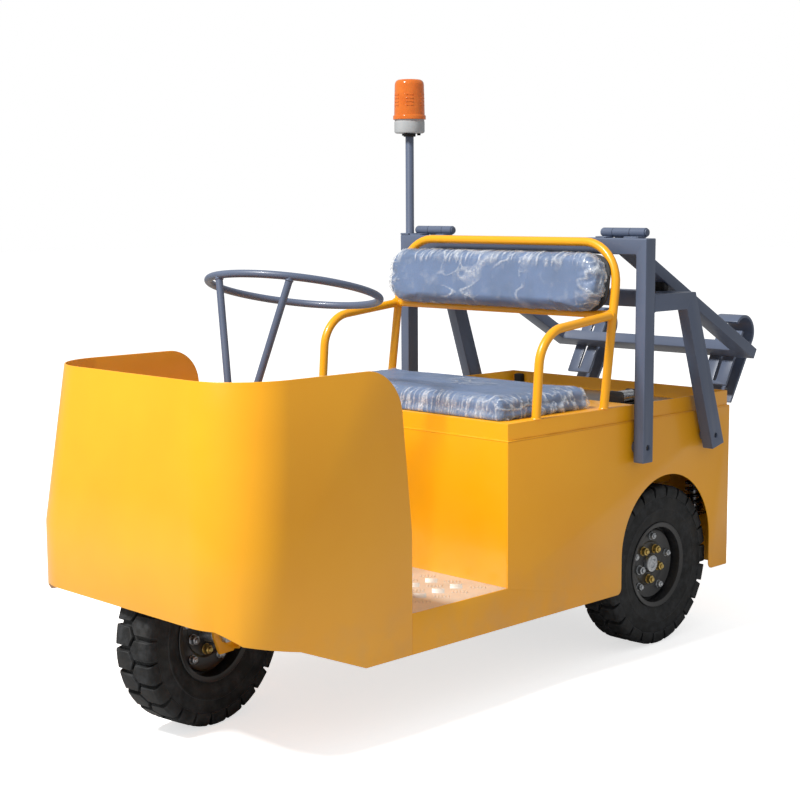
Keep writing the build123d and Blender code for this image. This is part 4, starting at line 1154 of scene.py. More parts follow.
@dataclass
class Cushion:
    """A stuffed pad blown up as cloth over its foam, with dust film stapled round it.

    Its own frame has x along the seat, y square to that and z out of the board that carries it.
    """

    name: str
    node: str
    place: Matrix
    long: float
    wide: float
    thick: float
    corner: float
    edge: float
    gathers_at: float
    streak_along: float
    seed: float
    voxel: float = 0.006
    pressure: float = 4.0
    cap: float = 0.007

    def make(self) -> None:
        """Build the pad and its film."""
        pad = self.pad()
        film = self.film(pad)
        pad.shift(self.place).smooth(60).dress(Finish.VINYL)
        pad.mount("chassis", "blue_vinyl", self.node)
        film.shift(self.place).smooth(75).dress(Finish.FILM).mount("chassis", "blue_vinyl")

    def plan(self, inset: float) -> list[Point]:
        """The pad's rounded outline, moved in by an inset."""
        half_long, half_wide = self.long / 2 - inset, self.wide / 2 - inset
        radius = max(0.004, self.corner - inset)
        points = []
        for quarter, (sx, sy) in enumerate(((1, 1), (-1, 1), (-1, -1), (1, -1))):
            for step in range(9):
                angle = radians(90 * quarter + 90 * step / 8)
                points.append((sx * (half_long - radius) + radius * cos(angle),
                               sy * (half_wide - radius) + radius * sin(angle), 0.0))
        return points

    def pad(self) -> Bench:
        """Cut the cover, close it and let pressure fill it out to the foam's size."""
        inset = self.cap * 0.6
        pad = Bench(f"{self.name}_pad").outline(self.plan(inset))
        pad.extrude((0, 0, self.thick - inset))
        pad.pick("edges", lambda ends: all(v.z > self.thick * 0.6 for v in ends))
        bpy.ops.mesh.bevel(offset=self.edge, segments=4, profile=0.55)
        pad.outward()
        pad.modify("REMESH", mode="VOXEL", voxel_size=self.voxel, use_smooth_shade=True)
        self.inflate(pad)
        return pad.modify("SUBSURF", levels=1)

    def inflate(self, pad: Bench) -> None:
        """Run the cover as cloth under pressure, its underside pinned to the board."""
        item = pad.item
        start = [vertex.co.copy() for vertex in item.data.vertices]
        held = item.vertex_groups.new(name="held")
        held.add([v.index for v in item.data.vertices if v.co.z < self.voxel * 1.1], 1.0, "REPLACE")
        cloth = item.modifiers.new("Cloth", "CLOTH")
        settings = cloth.settings
        settings.quality, settings.mass = 6, 0.25
        settings.tension_stiffness = settings.compression_stiffness = 22
        settings.shear_stiffness, settings.bending_stiffness = 10, 3
        settings.use_pressure, settings.uniform_pressure_force = True, self.pressure
        settings.effector_weights.gravity = 0
        settings.vertex_group_mass = "held"
        cloth.point_cache.frame_start, cloth.point_cache.frame_end = 1, 20
        for number in range(1, 21):
            bpy.context.scene.frame_set(number)
        pad.activate()
        bpy.ops.object.modifier_apply(modifier="Cloth")
        bpy.context.scene.frame_set(1)
        half = Vector((self.long / 2, self.wide / 2, self.thick))
        for vertex, before in zip(item.data.vertices, start):
            move = vertex.co - before
            if move.length > self.cap:
                vertex.co = before + move * (self.cap / move.length)
            vertex.co.x = min(half.x, max(-half.x, vertex.co.x))
            vertex.co.y = min(half.y, max(-half.y, vertex.co.y))
            vertex.co.z = min(half.z, max(0.0, vertex.co.z))
        item.vertex_groups.clear()

    def crease(self, p: Vector) -> float:
        """How far the film is gathered up at a place, from 0 to 1, and so where its material
        paints white highlight streaks.

        Args:
            p: The place, in the pad's own frame.

        Returns:
            The strength of the crease there.
        """
        def lines(x: float, y: float, z: float, sharpness: float) -> float:
            """Thin lines of a noise at a place already scaled."""
            return ridged(noise.noise(Vector((x, y, z + self.seed))), sharpness)

        long, wide = self.long / 2, self.wide / 2
        bend = noise.noise(Vector((p.x * 9, p.y * 12, self.seed))) * 0.5
        gather = ease_between(p.y * self.gathers_at, wide - 0.068, wide - 0.022)
        gather = max(gather, ease_between(self.thick - p.z, 0.006, 0.024))
        short = lines(p.x * 72 + bend * 2.2, p.y * 10, p.z * 9, 4.2)
        fine = lines(p.x * 120, p.y * 22, p.z * 30 + 7, 4.5)
        streaks = lines(p.x * self.streak_along + bend, p.y * 26 + bend * 3, 3, 10.0)
        cross = lines(p.x * 15 + bend * 2, p.y * 11, 5, 12.0)
        patch = ease_between(noise.noise(Vector((p.x * 6, p.y * 7, self.seed + 11))), -0.25, 0.3)
        at_end = ease_between(abs(p.x), long - 0.085, long - 0.012)
        hang = lines(p.x * 26, p.y * 60 + bend * 3, p.z * 44, 3.4)
        return min(1.0, max(gather * max(short, 0.7 * fine), 0.9 * patch * streaks,
                            0.75 * patch * cross, at_end * hang))

    def film(self, pad: Bench) -> Bench:
        """Lay thin film over the pad, raised where it gathers and loose at its ends."""
        copy = pad.item.copy()
        copy.data = pad.item.data.copy()
        bpy.context.scene.collection.objects.link(copy)
        film = Bench(f"{self.name}_dust_film").take(copy)
        film.modify("REMESH", mode="VOXEL", voxel_size=0.0036, use_smooth_shade=True)
        film.modify("SMOOTH", factor=0.5, iterations=4)
        mesh = film.item.data
        marks = mesh.attributes.new("crease", "FLOAT", "POINT")
        long = self.long / 2
        normals = [vertex.normal.copy() for vertex in mesh.vertices]
        for vertex, normal, mark in zip(mesh.vertices, normals, marks.data):
            strength = self.crease(vertex.co)
            # stored for the film's material, which paints white highlight streaks by it
            mark.value = strength
            loose = ease_between(abs(vertex.co.x), long - 0.030, long)
            lift = 0.0012 + 0.0022 * strength + 0.0070 * loose * strength
            flat = ease_between(vertex.co.z, 0.0, 0.006)
            vertex.co += normal * lift * max(flat, 0.12)
            vertex.co.z = max(0.0002, vertex.co.z)
        return film.outward()


@dataclass
class SeatFrame:
    """Bent yellow tube: a leaning hoop with its cross rail, and an armrest each side."""

    half: float = 370.0
    foot_reach: float = 249.0
    lean: float = 8.0
    foot_z: float = 639.0
    top_z: float = 1041.0
    rail_z: float = 866.0
    arm_corner: tuple = (488.0, 838.0)
    arm_foot_reach: float = 503.0
    hoop_bend: float = 108.0
    arm_bend: float = 88.0
    tube: float = 11.0

    def on_hoop(self, y: float, z: float) -> Point:
        """A point of the hoop's plane."""
        reach = self.foot_reach - (z - self.foot_z) * tan(radians(self.lean))
        return (ahead(reach), across(y), z * MM)

    def make(self) -> None:
        """Bend, place and weld the tubes."""
        low = self.foot_z + 0.4
        hoop = bent_tube("seat_tubes", [
            self.on_hoop(self.half, low), self.on_hoop(self.half, self.top_z),
            self.on_hoop(-self.half, self.top_z), self.on_hoop(-self.half, low)],
            self.hoop_bend * MM, self.tube * MM)
        rail = bent_tube("rail", [self.on_hoop(self.half, self.rail_z),
                                  self.on_hoop(-self.half, self.rail_z)], 0, (self.tube - 1) * MM)
        parts, beads = [rail], []
        reach, z = self.arm_corner
        for side in (1, -1):
            y = across(side * self.half)
            parts.append(bent_tube("arm", [
                self.on_hoop(side * self.half, self.rail_z), (ahead(reach), y, z * MM),
                (ahead(self.arm_foot_reach), y, low * MM)], self.arm_bend * MM, self.tube * MM))
            for foot in (self.on_hoop(side * self.half, self.foot_z),
                         (ahead(self.arm_foot_reach), y, self.foot_z * MM)):
                beads.append(weld_ring(Vector(foot) + Vector((0, 0, 0.0012)), Vector((0, 0, 1)),
                                       self.tube * MM))
            joint = Vector(self.on_hoop(side * self.half, self.rail_z))
            beads.append(weld_ring(joint + Vector((0.0118, 0, 0)), Vector((1, 0, -0.12)),
                                   self.tube * MM))
            beads.append(weld_ring(joint - Vector((0, side * 0.0112, 0)), Vector((0, 1, 0)),
                                   (self.tube - 1) * MM))
        hoop.fuse(*parts, *beads).smooth(40).dress(Finish.YELLOW)
        hoop.mount("chassis", "yellow_paint", "seat_frame")


def weld_ring(centre: Vector, normal: Vector, radius: float, bead: float = 0.0022) -> Bench:
    """A rippled weld bead round a tube's foot.

    Args:
        centre: The tube's centre there.
        normal: The tube's direction.
        radius: The tube's radius.
        bead: The bead's own radius.

    Returns:
        The bead.
    """
    ring = Bench("weld").ring(radius, 40).tube(bead, 1, 0.8)
    return ring.shift(aimed(centre, normal)).outward()


# ---------------------------------------------------------------- handlebar
@dataclass
class SteeringRing:
    """Round handlebar of bent tube, tilted on two struts welded to the column's head."""

    column_reach: float = 1093.0
    turn: float = 18.0
    setback: float = 256.0
    height: float = 937.0
    tilt: float = 13.6
    radius: float = 202.0
    tube: float = 9.0
    strut_half_angle: float = 28.0
    head_z: float = 628.0

    def make(self) -> None:
        """Bend the ring, set its struts and weld them."""
        column = Vector((ahead(self.column_reach), across(0), 0))
        along = Vector((cos(radians(self.turn)), sin(radians(self.turn)), 0))
        aside = Vector((-along.y, along.x, 0))
        forward = along * cos(radians(self.tilt)) + Vector((0, 0, sin(radians(self.tilt))))
        normal = forward.cross(aside)
        centre = column - along * self.setback * MM + Vector((0, 0, self.height * MM))
        place = Matrix((forward, aside, normal)).transposed().to_4x4()
        place.translation = centre
        ring = Bench("handlebar_ring").ring(self.radius * MM, 96).tube(self.tube * MM)
        ring.shift(place).outward()
        parts = []
        for side in (1, -1):
            angle = side * radians(self.strut_half_angle)
            top = place @ Vector((self.radius * MM * cos(angle), self.radius * MM * sin(angle), 0))
            foot = column + aside * side * 0.012 + Vector((0, 0, self.head_z * MM))
            direction = (top - foot).normalized()
            low = foot + direction * 0.0012
            parts.append(bent_tube("strut", [low, top], 0, (self.tube - 0.5) * MM))
            parts.append(weld_ring(top - direction * 0.0098, direction, (self.tube - 0.8) * MM))
            parts.append(weld_ring(low + direction * 0.002, direction, (self.tube - 0.8) * MM))
        ring.fuse(*parts).smooth(40).dress(Finish.SLATE)
        ring.mount("handlebar", "blue_grey_paint", "steering_ring")


# ---------------------------------------------------------------- beacon
@dataclass
class Beacon:
    """Orange warning lamp: a hollow ribbed dome over its motor, on a grey base."""

    reach: float = 136.0
    y: float = -404.0
    base_z: float = 1330.0
    dome_z: float = 1368.0
    top_z: float = 1477.0
    base_radius: float = 42.0
    dome_radius: float = 45.5

    @property
    def axis(self) -> Vector:
        """The point of the lamp's axis at the floor."""
        return Vector((ahead(self.reach), across(self.y), 0))

    def revolve(self, name: str, section: Sequence[tuple[float, float]], steps: int = 72) -> Bench:
        """Spin a section given as radius and height in millimetres about the lamp's axis."""
        turned = [mm(z, r) for r, z in section]
        return Bench(name).lathe(turned, steps, "Z", self.axis).smooth(35)

    def make(self) -> None:
        """Build the lamp from its base up."""
        d, t, r = self.dome_z, self.top_z, self.dome_radius
        outer = [(r, d), (r, d + 9), (r - 0.6, d + 10.4), (r - 3, d + 12), (r - 5, t - 15),
                 (r - 6, t - 9), (r - 9, t - 4), (r - 14, t - 1.1), (r - 22, t - 0.2), (0, t)]
        inner = [(0, t - 3), (r - 23, t - 3.2), (r - 15, t - 4.2), (r - 11, t - 7),
                 (r - 8.2, t - 15), (r - 6, d + 12), (r - 6, d)]
        dome = self.revolve("beacon_lens", outer + inner)
        dome.fuse(*self.ribs()).dress(Finish.LENS).mount("chassis", "lamp_dome", "beacon_dome")
        b, low = self.base_radius, self.base_z
        foot = [(0, low), (b - 5, low), (b - 1.5, low + 1.5), (b, low + 5), (b, d - 6),
                (b - 0.8, d - 5), (b - 0.8, d - 0.3), (0, d - 0.3)]
        base = self.revolve("beacon_foot", foot).dress(Finish.LAMP_BASE)
        base.mount("chassis", "lamp_base", "beacon_base")
        self.motor()
        self.fixings()

    def ribs(self) -> list[Bench]:
        """Short rows of prisms moulded round the dome at mid height."""
        rows = []
        places = [Matrix.Translation(self.axis) @ turn for turn in ring_places(6, "Z", radians(45))]
        half_long, half_high = 10, 1.6
        for level in range(4):
            z = self.dome_z + 38 + level * 9.5
            radius = self.dome_radius - 3.6 - level * 0.2
            rib = Bench("rib").block(mm(radius - 1.2, -half_long, z - half_high),
                                     mm(radius + 0.9, half_long, z + half_high))
            rows.append(rib.ease(0.0007, 2).copies(places))
        return rows

    def motor(self) -> None:
        """The turning motor inside the dome, with the bulb's stem on it."""
        d = self.dome_z
        section = [(0, d + 0.2), (24, d + 0.2), (24, d + 14), (20, d + 18), (7, d + 19),
                   (7, d + 44), (5, d + 50), (0, d + 52)]
        motor = self.revolve("beacon_motor", section, 36).dress(Finish.CHROME)
        motor.mount("chassis", "lamp_base")

    def fixings(self) -> None:
        """Dark nuts under the base and a collar round the pole."""
        low = self.base_z
        nut = Bench("beacon_nuts").rod(0.0055, -0.0055, -0.0001, 6).ease(0.0005, 1)
        under = Matrix.Translation(self.axis + AXES["Z"] * low * MM)
        places = [under @ turn @ Matrix.Translation((0.026, 0, 0))
                  for turn in ring_places(3, "Z", 0.4)]
        nut.copies(places).smooth(30).dress(Finish.BUFFER).mount("chassis", "dark_paint")
        collar = self.revolve("beacon_collar", [(11.6, low - 9), (16, low - 9), (17, low - 8),
                                                (17, low - 0.2), (11.6, low - 0.2)], 40)
        collar.dress(Finish.BUFFER).mount("chassis", "dark_paint")


# ---------------------------------------------------------------- lift gear
@dataclass
class LiftGear:
    """Welded lift frame on knuckle hinges, with curled and slotted hook plates."""

    hinge_reach: float = 115.0
    portal_top: float = 1050.0
    barrel: float = 11.5
    leaf: float = 4.0
    leaf_wide: float = 34.0
    pin: float = 6.0
    splits: tuple = (260.0, 294.0, 346.0, 392.0)
    gap: float = 1.0
    slope: float = 28.6
    arm_y: float = 320.0
    arm_width: float = 50.0
    arm_depth: float = 30.0
    arm_start: float = 28.0
    arm_end: float = 668.0
    hook_inner: float = 200.0
    hook_width: float = 80.0
    plate: float = 8.0
    front_drop: float = 125.0
    rear_drop: float = 157.0
    rear_taper: float = 9.0
    curl: float = 50.0
    curl_at: tuple = (681.0, 40.0)
    slot: float = 10.0

    def lift_place(self) -> Matrix:
        """Frame of the arms: x along them, z square to them and up, y to the right."""
        hinge_z = self.portal_top + self.leaf / 2 + self.barrel
        at = (ahead(self.hinge_reach), across(0), hinge_z * MM)
        return (Matrix.Translation(at) @ Matrix.Rotation(radians(-self.slope), 4, "Y")
                @ Matrix.Rotation(pi, 4, "Z"))

    def make(self) -> None:
        """Build the arms, knuckles, hooks and hinge leaves."""
        self.arms()
        self.leaves()
        for name, side in (("left", -1), ("right", 1)):
            self.hook(name, side)

    def arms(self) -> None:
        """Two box arms joined by a rear bar, each with its strap and knuckle."""
        top, low = -self.barrel, -self.barrel - self.arm_depth
        inner, outer = self.arm_y - self.arm_width / 2, self.arm_y + self.arm_width / 2
        a, b, w = self.arm_start, self.arm_end, self.arm_width
        plan = [(a, -outer), (b, -outer), (b, outer), (a, outer),
                (a, inner), (b - w, inner), (b - w, -inner), (a, -inner)]
        body = Bench("lift_arms").outline(mm(x, y, low) for x, y in plan)
        body.extrude((0, 0, (top - low) * MM)).ease(0.0025, 3)
        parts = []
        y0, y1 = self.splits[1:3]
        half = (y1 - y0) / 2
        weld, z = WeldRun(), top + 0.5
        for side in (1, -1):
            mid = side * (y0 + y1) / 2
            strap = Bench("strap").block(mm(2, mid - half, top),
                                         mm(110, mid + half, top + self.leaf))
            parts.append(strap.ease(0.0012, 2))
            parts.append(self.knuckle((mid - half) * MM, (mid + half) * MM))
            parts.append(weld.along(mm(110.5, mid - half * 0.9, z), mm(110.5, mid + half * 0.9, z)))
            # the arms' open ends are closed with a rounded plug
            arm, reach = side * self.arm_y, w / 2 - 3
            plug = Bench("plug").block(mm(a - 3, arm - reach, low + 3),
                                       mm(a + 2, arm + reach, top - 3))
            parts.append(plug.ease(0.002, 2))
        body.fuse(*parts).shift(self.lift_place()).smooth(40).dress(Finish.SLATE)
        body.mount("lift_frame", "blue_grey_paint", "lift_frame")

    def knuckle(self, low: float, high: float) -> Bench:
        """A short tube bored for the pin, along Y at the hinge line."""
        r, p, e = self.barrel * MM, (self.pin + 0.4) * MM, 0.0008
        return Bench("knuckle").lathe([(low, p), (low, r - e), (low + e, r), (high - e, r),
                                       (high, r - e), (high, p)], 40)

    def leaves(self) -> None:
        """Fixed leaves welded to the portal, their knuckles, pins and turned caps."""
        z = (self.portal_top + self.leaf / 2 + self.barrel) * MM
        x, wide = ahead(self.hinge_reach), self.leaf_wide * MM
        base = self.portal_top * MM
        parts, pins = [], []
        for side in (1, -1):
            for y0, y1 in ((self.splits[0], self.splits[1] - self.gap),
                           (self.splits[2] + self.gap, self.splits[3])):
                ends = sorted((across(side * y0), across(side * y1)))
                leaf = Bench("leaf").block((x, ends[0], base + 0.0001),
                                           (x + wide, ends[1], base + self.leaf * MM))
                parts.append(leaf.ease(0.0012, 2))
                parts.append(self.knuckle(*ends).shift(Matrix.Translation((x, 0, z))))
                edge, low = x + wide + 0.001, base + 0.001
                parts.append(WeldRun().along((edge, ends[0] + 0.003, low),
                                             (edge, ends[1] - 0.003, low)))
            ends = sorted((across(side * self.splits[0]), across(side * self.splits[3])))
            pin = Bench("pin").rod(self.pin * MM, ends[0] + 0.0008, ends[1] - 0.0008, 28, "Y",
                                   (x, 0, z))
            caps = []
            for y, out in ((ends[0], -1), (ends[1], 1)):
                cap = Bench("cap").rod((self.barrel - 2) * MM, 0.0001, 0.0035, 28, "Y")
                cap.ease(0.0012, 2)
                if out < 0:
                    cap.shift(Matrix.Rotation(pi, 4, "X"))
                caps.append(cap.shift(Matrix.Translation((x, y, z))))
            pins.append(pin.fuse(*caps))
        made = joined("hinge_knuckles", parts + pins).smooth(40).dress(Finish.SLATE)
        made.mount("chassis", "blue_grey_paint", "hinge_leaves")

    def hook(self, name: str, side: int) -> None:
        """A plate curled over into a hook, with a long slot down its front.

        Args:
            name: left or right.
            side: Its side in the arms' frame, where the left is negative.
        """
        s0, t0 = self.curl_at
        r, p, end = self.curl, self.plate, self.arm_end
        # the outer leg, up and over the curl, and down to the plate against the rear bar
        sweep, steps = radians(180 - 12), 24
        outside, inside = ([(s0 + q * cos(sweep * k / steps), t0 + q * sin(sweep * k / steps))
                            for k in range(steps + 1)] for q in (r, r - p))
        foot = s0 + r - self.rear_taper
        rim = [(foot, -self.rear_drop), *outside, *reversed(inside), (foot - p, -self.rear_drop)]
        middle, half, gap = side * (self.hook_inner + self.hook_width / 2), self.hook_width / 2, 10
        leg = Bench(f"hook_plate_{name}").outline(mm(s, middle - half, t) for s, t in rim)
        leg.extrude((0, self.hook_width * MM, 0)).ease(0.0010, 2, 50)
        front = Bench("front").block(mm(end + 0.05, middle - half, -self.front_drop),
                                     mm(end + p, middle + half, t0 + 0.5))
        cutter = Bench("cutter").block(
            mm(end - 4, middle - self.slot / 2, gap - self.front_drop),
            mm(end + p + 4, middle + self.slot / 2, t0 - gap))
        cutter.pick("edges", lambda v: abs(v[0].x - v[1].x) > 0.008)
        bpy.ops.mesh.bevel(offset=self.slot * MM * 0.49, segments=6)
        cutter.done()
        front.modify("BOOLEAN", operation="DIFFERENCE", object=cutter.item, solver="EXACT")
        bpy.data.objects.remove(cutter.item)
        front.ease(0.0010, 2, 50)
        leg.fuse(front).shift(self.lift_place()).smooth(40).dress(Finish.SLATE)
        leg.mount("lift_frame", "blue_grey_paint", f"hook_{name}")


# ---------------------------------------------------------------- footwell
@dataclass
class Footwell:
    """Five-bar tread plate on the footwell's floor and ribbed rubber on the pedals."""

    back: float = 618.0
    front: float = 954.0
    half: float = 376.0
    top_z: float = 259.0
    pitch_along: float = 60.0
    pitch_across: float = 80.0
    bars: int = 5
    bar_long: float = 31.0
    bar_wide: float = 5.2
    bar_gap: float = 8.0
    rise: float = 1.5
    first: tuple = (682.0, 283.0)
    margin: float = 17.0
    turn: float = 43.8
    pedal_reach: float = 878.0
    pedal_z: float = 302.0
    pedal_y: tuple = (-150.0, -30.0)

    def make(self) -> None:
        """Lay the pattern and pad the pedals."""
        self.tread()
        self.pedals()

    def bar(self) -> Bench:
        """One rolled bar: a low lens, tapered towards both its ends."""
        a, b = self.bar_long / 2 * MM, self.bar_wide / 2 * MM
        plan = [(-a, 0), (-a * 0.55, -b * 0.8), (0, -b), (a * 0.55, -b * 0.8), (a, 0),
                (a * 0.55, b * 0.8), (0, b), (-a * 0.55, b * 0.8)]
        bar = Bench("bar").outline((x, y, -0.0004) for x, y in plan)
        bar.extrude((0, 0, (self.rise + 0.4) * MM))
        bar.pick("polygons", lambda f: f.normal.z > 0.9)
        bpy.ops.transform.resize(value=(0.86, 0.5, 1), center_override=(0, 0, 0))
        return bar.outward()

    def group(self, turn: float) -> list[Matrix]:
        """Places of one group's bars, side by side."""
        spin = Matrix.Rotation(radians(turn), 4, "Z")
        middle = (self.bars - 1) / 2
        return [spin @ Matrix.Translation((0, (k - middle) * self.bar_gap * MM, 0))
                for k in range(self.bars)]

    def tread(self) -> None:
        """Groups in two directions over the floor, as they come off the roll."""
        spots = []
        for rows, turn in ((0.0, self.turn + 90), (0.5, self.turn)):
            for i in range(-10, 11):
                for j in range(-12, 12):
                    reach = self.first[0] + (i + rows) * self.pitch_along
                    y = self.first[1] + (j + rows) * self.pitch_across
                    inside = (self.back + self.margin < reach < self.front - self.margin
                              and abs(y) < self.half - self.margin)
                    if inside:
                        at = Matrix.Translation((ahead(reach), across(y), self.top_z * MM))
                        spots += [at @ place for place in self.group(turn)]
        bars = self.bar()
        bars.name = "tread_bars"
        bars.copies(spots).smooth(50).dress(Finish.TREAD).mount("chassis", "deck_steel")

    def pedals(self) -> None:
        """Bent pedal arms with ribbed rubber pads."""
        arms = eased_copy("foot_pedals", "pedal_arms", 0.0015, 2).dress(Finish.BLACK)
        arms.mount("chassis", "dark_paint", "foot_pedals")
        ribs = []
        slope = Vector((9, 0, 30)).normalized()
        tilt = Matrix.Rotation(radians(17), 4, "Y")
        for y in self.pedal_y:
            foot = Vector((ahead(self.pedal_reach), across(y), self.pedal_z * MM))
            for k in range(6):
                centre = foot + slope * (k - 0.2) * 0.0068
                rib = Bench("rib").block((-0.0016, -0.029, -0.0022), (0.0016, 0.029, 0.0022))
                ribs.append(rib.ease(0.0008, 2).shift(Matrix.Translation(centre) @ tilt))
        made = joined("pedal_ribs", ribs).smooth(35).dress(Finish.BUFFER)
        made.mount("chassis", "pad_rubber")


# ---------------------------------------------------------------- fixings
def hex_bolt(flats: float, head: float, washer: float = 0.0) -> Bench:
    """A hexagon head on its washer, standing on z = 0 and pointing up.

    Args:
        flats: Width across the flats.
        head: Height of the head.
        washer: The washer's radius, or zero for one that suits the head.

    Returns:
        The bolt's head and washer.
    """
    wide = washer or flats * 0.66
    disc = Bench("washer").rod(wide, 0.0, 0.0018, 28).ease(0.0004, 1)
    body = Bench("head").rod(flats / sqrt(3), 0.0016, 0.0016 + head, 6)
    return body.end_chamfer(flats * 0.08, 0.0007).ease(0.0004, 1).fuse(disc)


@dataclass
class Fixings:
    """Bolts, screws and welds that hold the sheets and frames together."""

    foot_y: float = 412.0
    foot_z: float = 535.0
    foot_reaches: tuple = (136.0, -157.0)
    deck_reaches: tuple = (-235.0, -70.0, 95.0)
    deck_y: float = 345.0
    deck_z: float = 603.0
    wheel_box_reach: float = 985.0
    wheel_box_z: float = 470.0
    rim_z: float = 600.5
    stitch: float = 30.0
    front_stitch: float = 28.0
    side_y: float = 376.8
    front_reach: float = 610.3
    bar_z: tuple = (870.2, 911.5)
    post_reach: float = 115.4
    post_y: tuple = (391.6, 392.4, 421.6)

    def make(self) -> None:
        """Place them all."""
        self.frame_bolts()
        self.sheet_screws()
        self.welds()

    def frame_bolts(self) -> None:
        """Sunk bolts at the feet of the portal posts and rear stays, in their holes."""
        places = []
        for side in (1, -1):
            for reach in self.foot_reaches:
                at = (ahead(reach), across(side * self.foot_y), self.foot_z * MM)
                places.append(aimed(at, (0, side, 0), "Y"))
        bolt = hex_bolt(0.0105, 0.004, 0.0066)
        bolt.name = "frame_bolts"
        bolt.copies(places).smooth(30).dress(Finish.BLACK).mount("chassis", "dark_paint")

    def sheet_screws(self) -> None:
        """Bright screws through the deck and the wheel box."""
        spots = [(reach, y, self.deck_z) for reach in self.deck_reaches
                 for y in (-self.deck_y, self.deck_y)]
        spots += [(self.wheel_box_reach, y, self.wheel_box_z) for y in (-300, -100, 100, 300)]
        places = [aimed((ahead(r), across(y), z * MM), AXES["Z"], "Y") for r, y, z in spots]
        screw = hex_bolt(0.010, 0.0035)
        screw.name = "sheet_screws"
        screw.copies(places).smooth(30).dress(Finish.BRIGHT).mount("chassis", "zinc_steel")

    def welds(self) -> None:
        """Ground and stitched beads where plates and tubes meet."""
        yellow, slate = [], []
        run, z = WeldRun(0.0017, 0.0028), self.rim_z * MM
        for side in (1, -1):
            y = across(side * self.side_y)
            for k in range(9):
                reach = 560.0 - 100.0 * k
                yellow.append(run.along((ahead(reach), y, z), (ahead(reach - self.stitch), y, z)))
        front = ahead(self.front_reach)
        for k in range(7):
            y = 330.0 - 105.0 * k
            yellow.append(run.along((front, across(y), z),
                                    (front, across(y - self.front_stitch), z)))
        # stays to their cross bar, posts to theirs
        bead = WeldRun(0.0024, 0.0030)
        post, (foot, head) = ahead(self.post_reach), mm(*self.bar_z)
        for side in (1, -1):
            inner, y0, y1 = (across(side * y) for y in self.post_y)
            y0, y1 = sorted((y0, y1))
            slate += [bead.along((post, y0, z), (post, y1, z)) for z in (foot, head + 0.0003)]
            slate += [bead.along((ahead(reach), inner, foot), (ahead(reach), inner, head))
                      for reach in (-54.0, -8.0)]
            slate.append(bead.along((ahead(118.0), inner, 1.0105), (ahead(154.0), inner, 1.0105)))
        for name, made, finish, slot in (("rim_stitches", yellow, Finish.YELLOW, "yellow_paint"),
                                         ("frame_welds", slate, Finish.SLATE, "blue_grey_paint")):
            joined(name, made).smooth(50).dress(finish).mount("chassis", slot)


# ---------------------------------------------------------------- running gear
@dataclass
class RearSuspension:
    """Coil springs over their dampers between the trailing arms and the hangers."""

    radius: float = 25.0
    wire: float = 4.6
    turns: float = 6.0

    def make(self) -> None:
        """Wind both springs."""
        for name in ("left", "right"):
            self.spring(name)

    def spring(self, name: str) -> None:
        """One coil on its seats, with the damper's body and rod inside.

        Args:
            name: left or right, as in the CAD node's name.
        """
        low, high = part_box(f"spring_{name}")
        x, y = (low.x + high.x) / 2, (low.y + high.y) / 2
        base, top = low.z, high.z
        r, w = self.radius * MM, self.wire * MM
        mean, steps = r - w, int(self.turns * 24)
        points = []
        for k in range(steps + 1):
            share = k / steps
            angle = 2 * pi * self.turns * share
            points.append((x + mean * cos(angle), y + mean * sin(angle),
                           base + w + 0.003 + (top - base - 2 * w - 0.006) * share))
        coil = bent_tube(f"coil_{name}", points, 0, w)
        coil.dress(Finish.BLACK).mount("chassis", "dark_paint", f"spring_{name}")
        seat = r * 0.98
        section = [(base, 0), (base, seat), (base + 0.003, seat), (base + 0.0034, 0.013),
                   (base + 0.062, 0.013), (base + 0.0635, 0.0125), (base + 0.064, 0.006),
                   (top - 0.0034, 0.006), (top - 0.003, seat), (top, seat), (top, 0)]
        damper = Bench(f"damper_{name}").lathe(section, 32, "Z", (x, y, 0)).smooth(35)
        damper.dress(Finish.BRIGHT).mount("chassis", "zinc_steel")


@dataclass
class ForkTips:
    """Turned-back flanges, lower straps and a bolt on each of the fork's two legs."""

    leg_y: float = 70.0
    thick: float = 8.0

    def place(self) -> Matrix:
        """The front wheel's own frame, its axle along Y."""
        return RoadWheel("front", "front_wheel", "front_wheel_spin").frame_matrix()

    def make(self) -> None:
        """Bend the flanges and set the bolts."""
        flanges, bolts = [], []
        back = -0.0938
        for side in (1, -1):
            outer = side * (self.leg_y + self.thick / 2) * MM
            y0, y1 = sorted((outer - side * 0.001, outer + side * 0.0145))
            rib = Bench("flange").outline([(back, y0, 0.2180), (back, y1, 0.2140),
                                           (back, y1, 0.0560), (back, y0, 0.0400)])
            strap = Bench("strap").outline([
                (back + 0.0008, y0, 0.0300), (back + 0.0008, y1, 0.0330),
                (-0.0300, y1, -0.0360), (-0.0300, y0, -0.0385)])
            flanges += [rib.extrude((0.0045, 0, 0)).ease(0.0012, 2),
                        strap.extrude((0.0030, 0, 0.0030)).ease(0.0008, 2)]
            bolts.append(hex_bolt(0.013, 0.006).shift(
                Matrix.Translation((-0.058, outer, 0.052))
                @ Matrix.Rotation(-side * pi / 2, 4, "X")))
        made = joined("fork_flanges", flanges).shift(self.place()).smooth(35)
        made.dress(Finish.YELLOW).mount("front_fork", "yellow_paint")
        made = joined("fork_bolts", bolts).shift(self.place()).smooth(30)
        made.dress(Finish.BRIGHT).mount("front_fork", "zinc_steel")


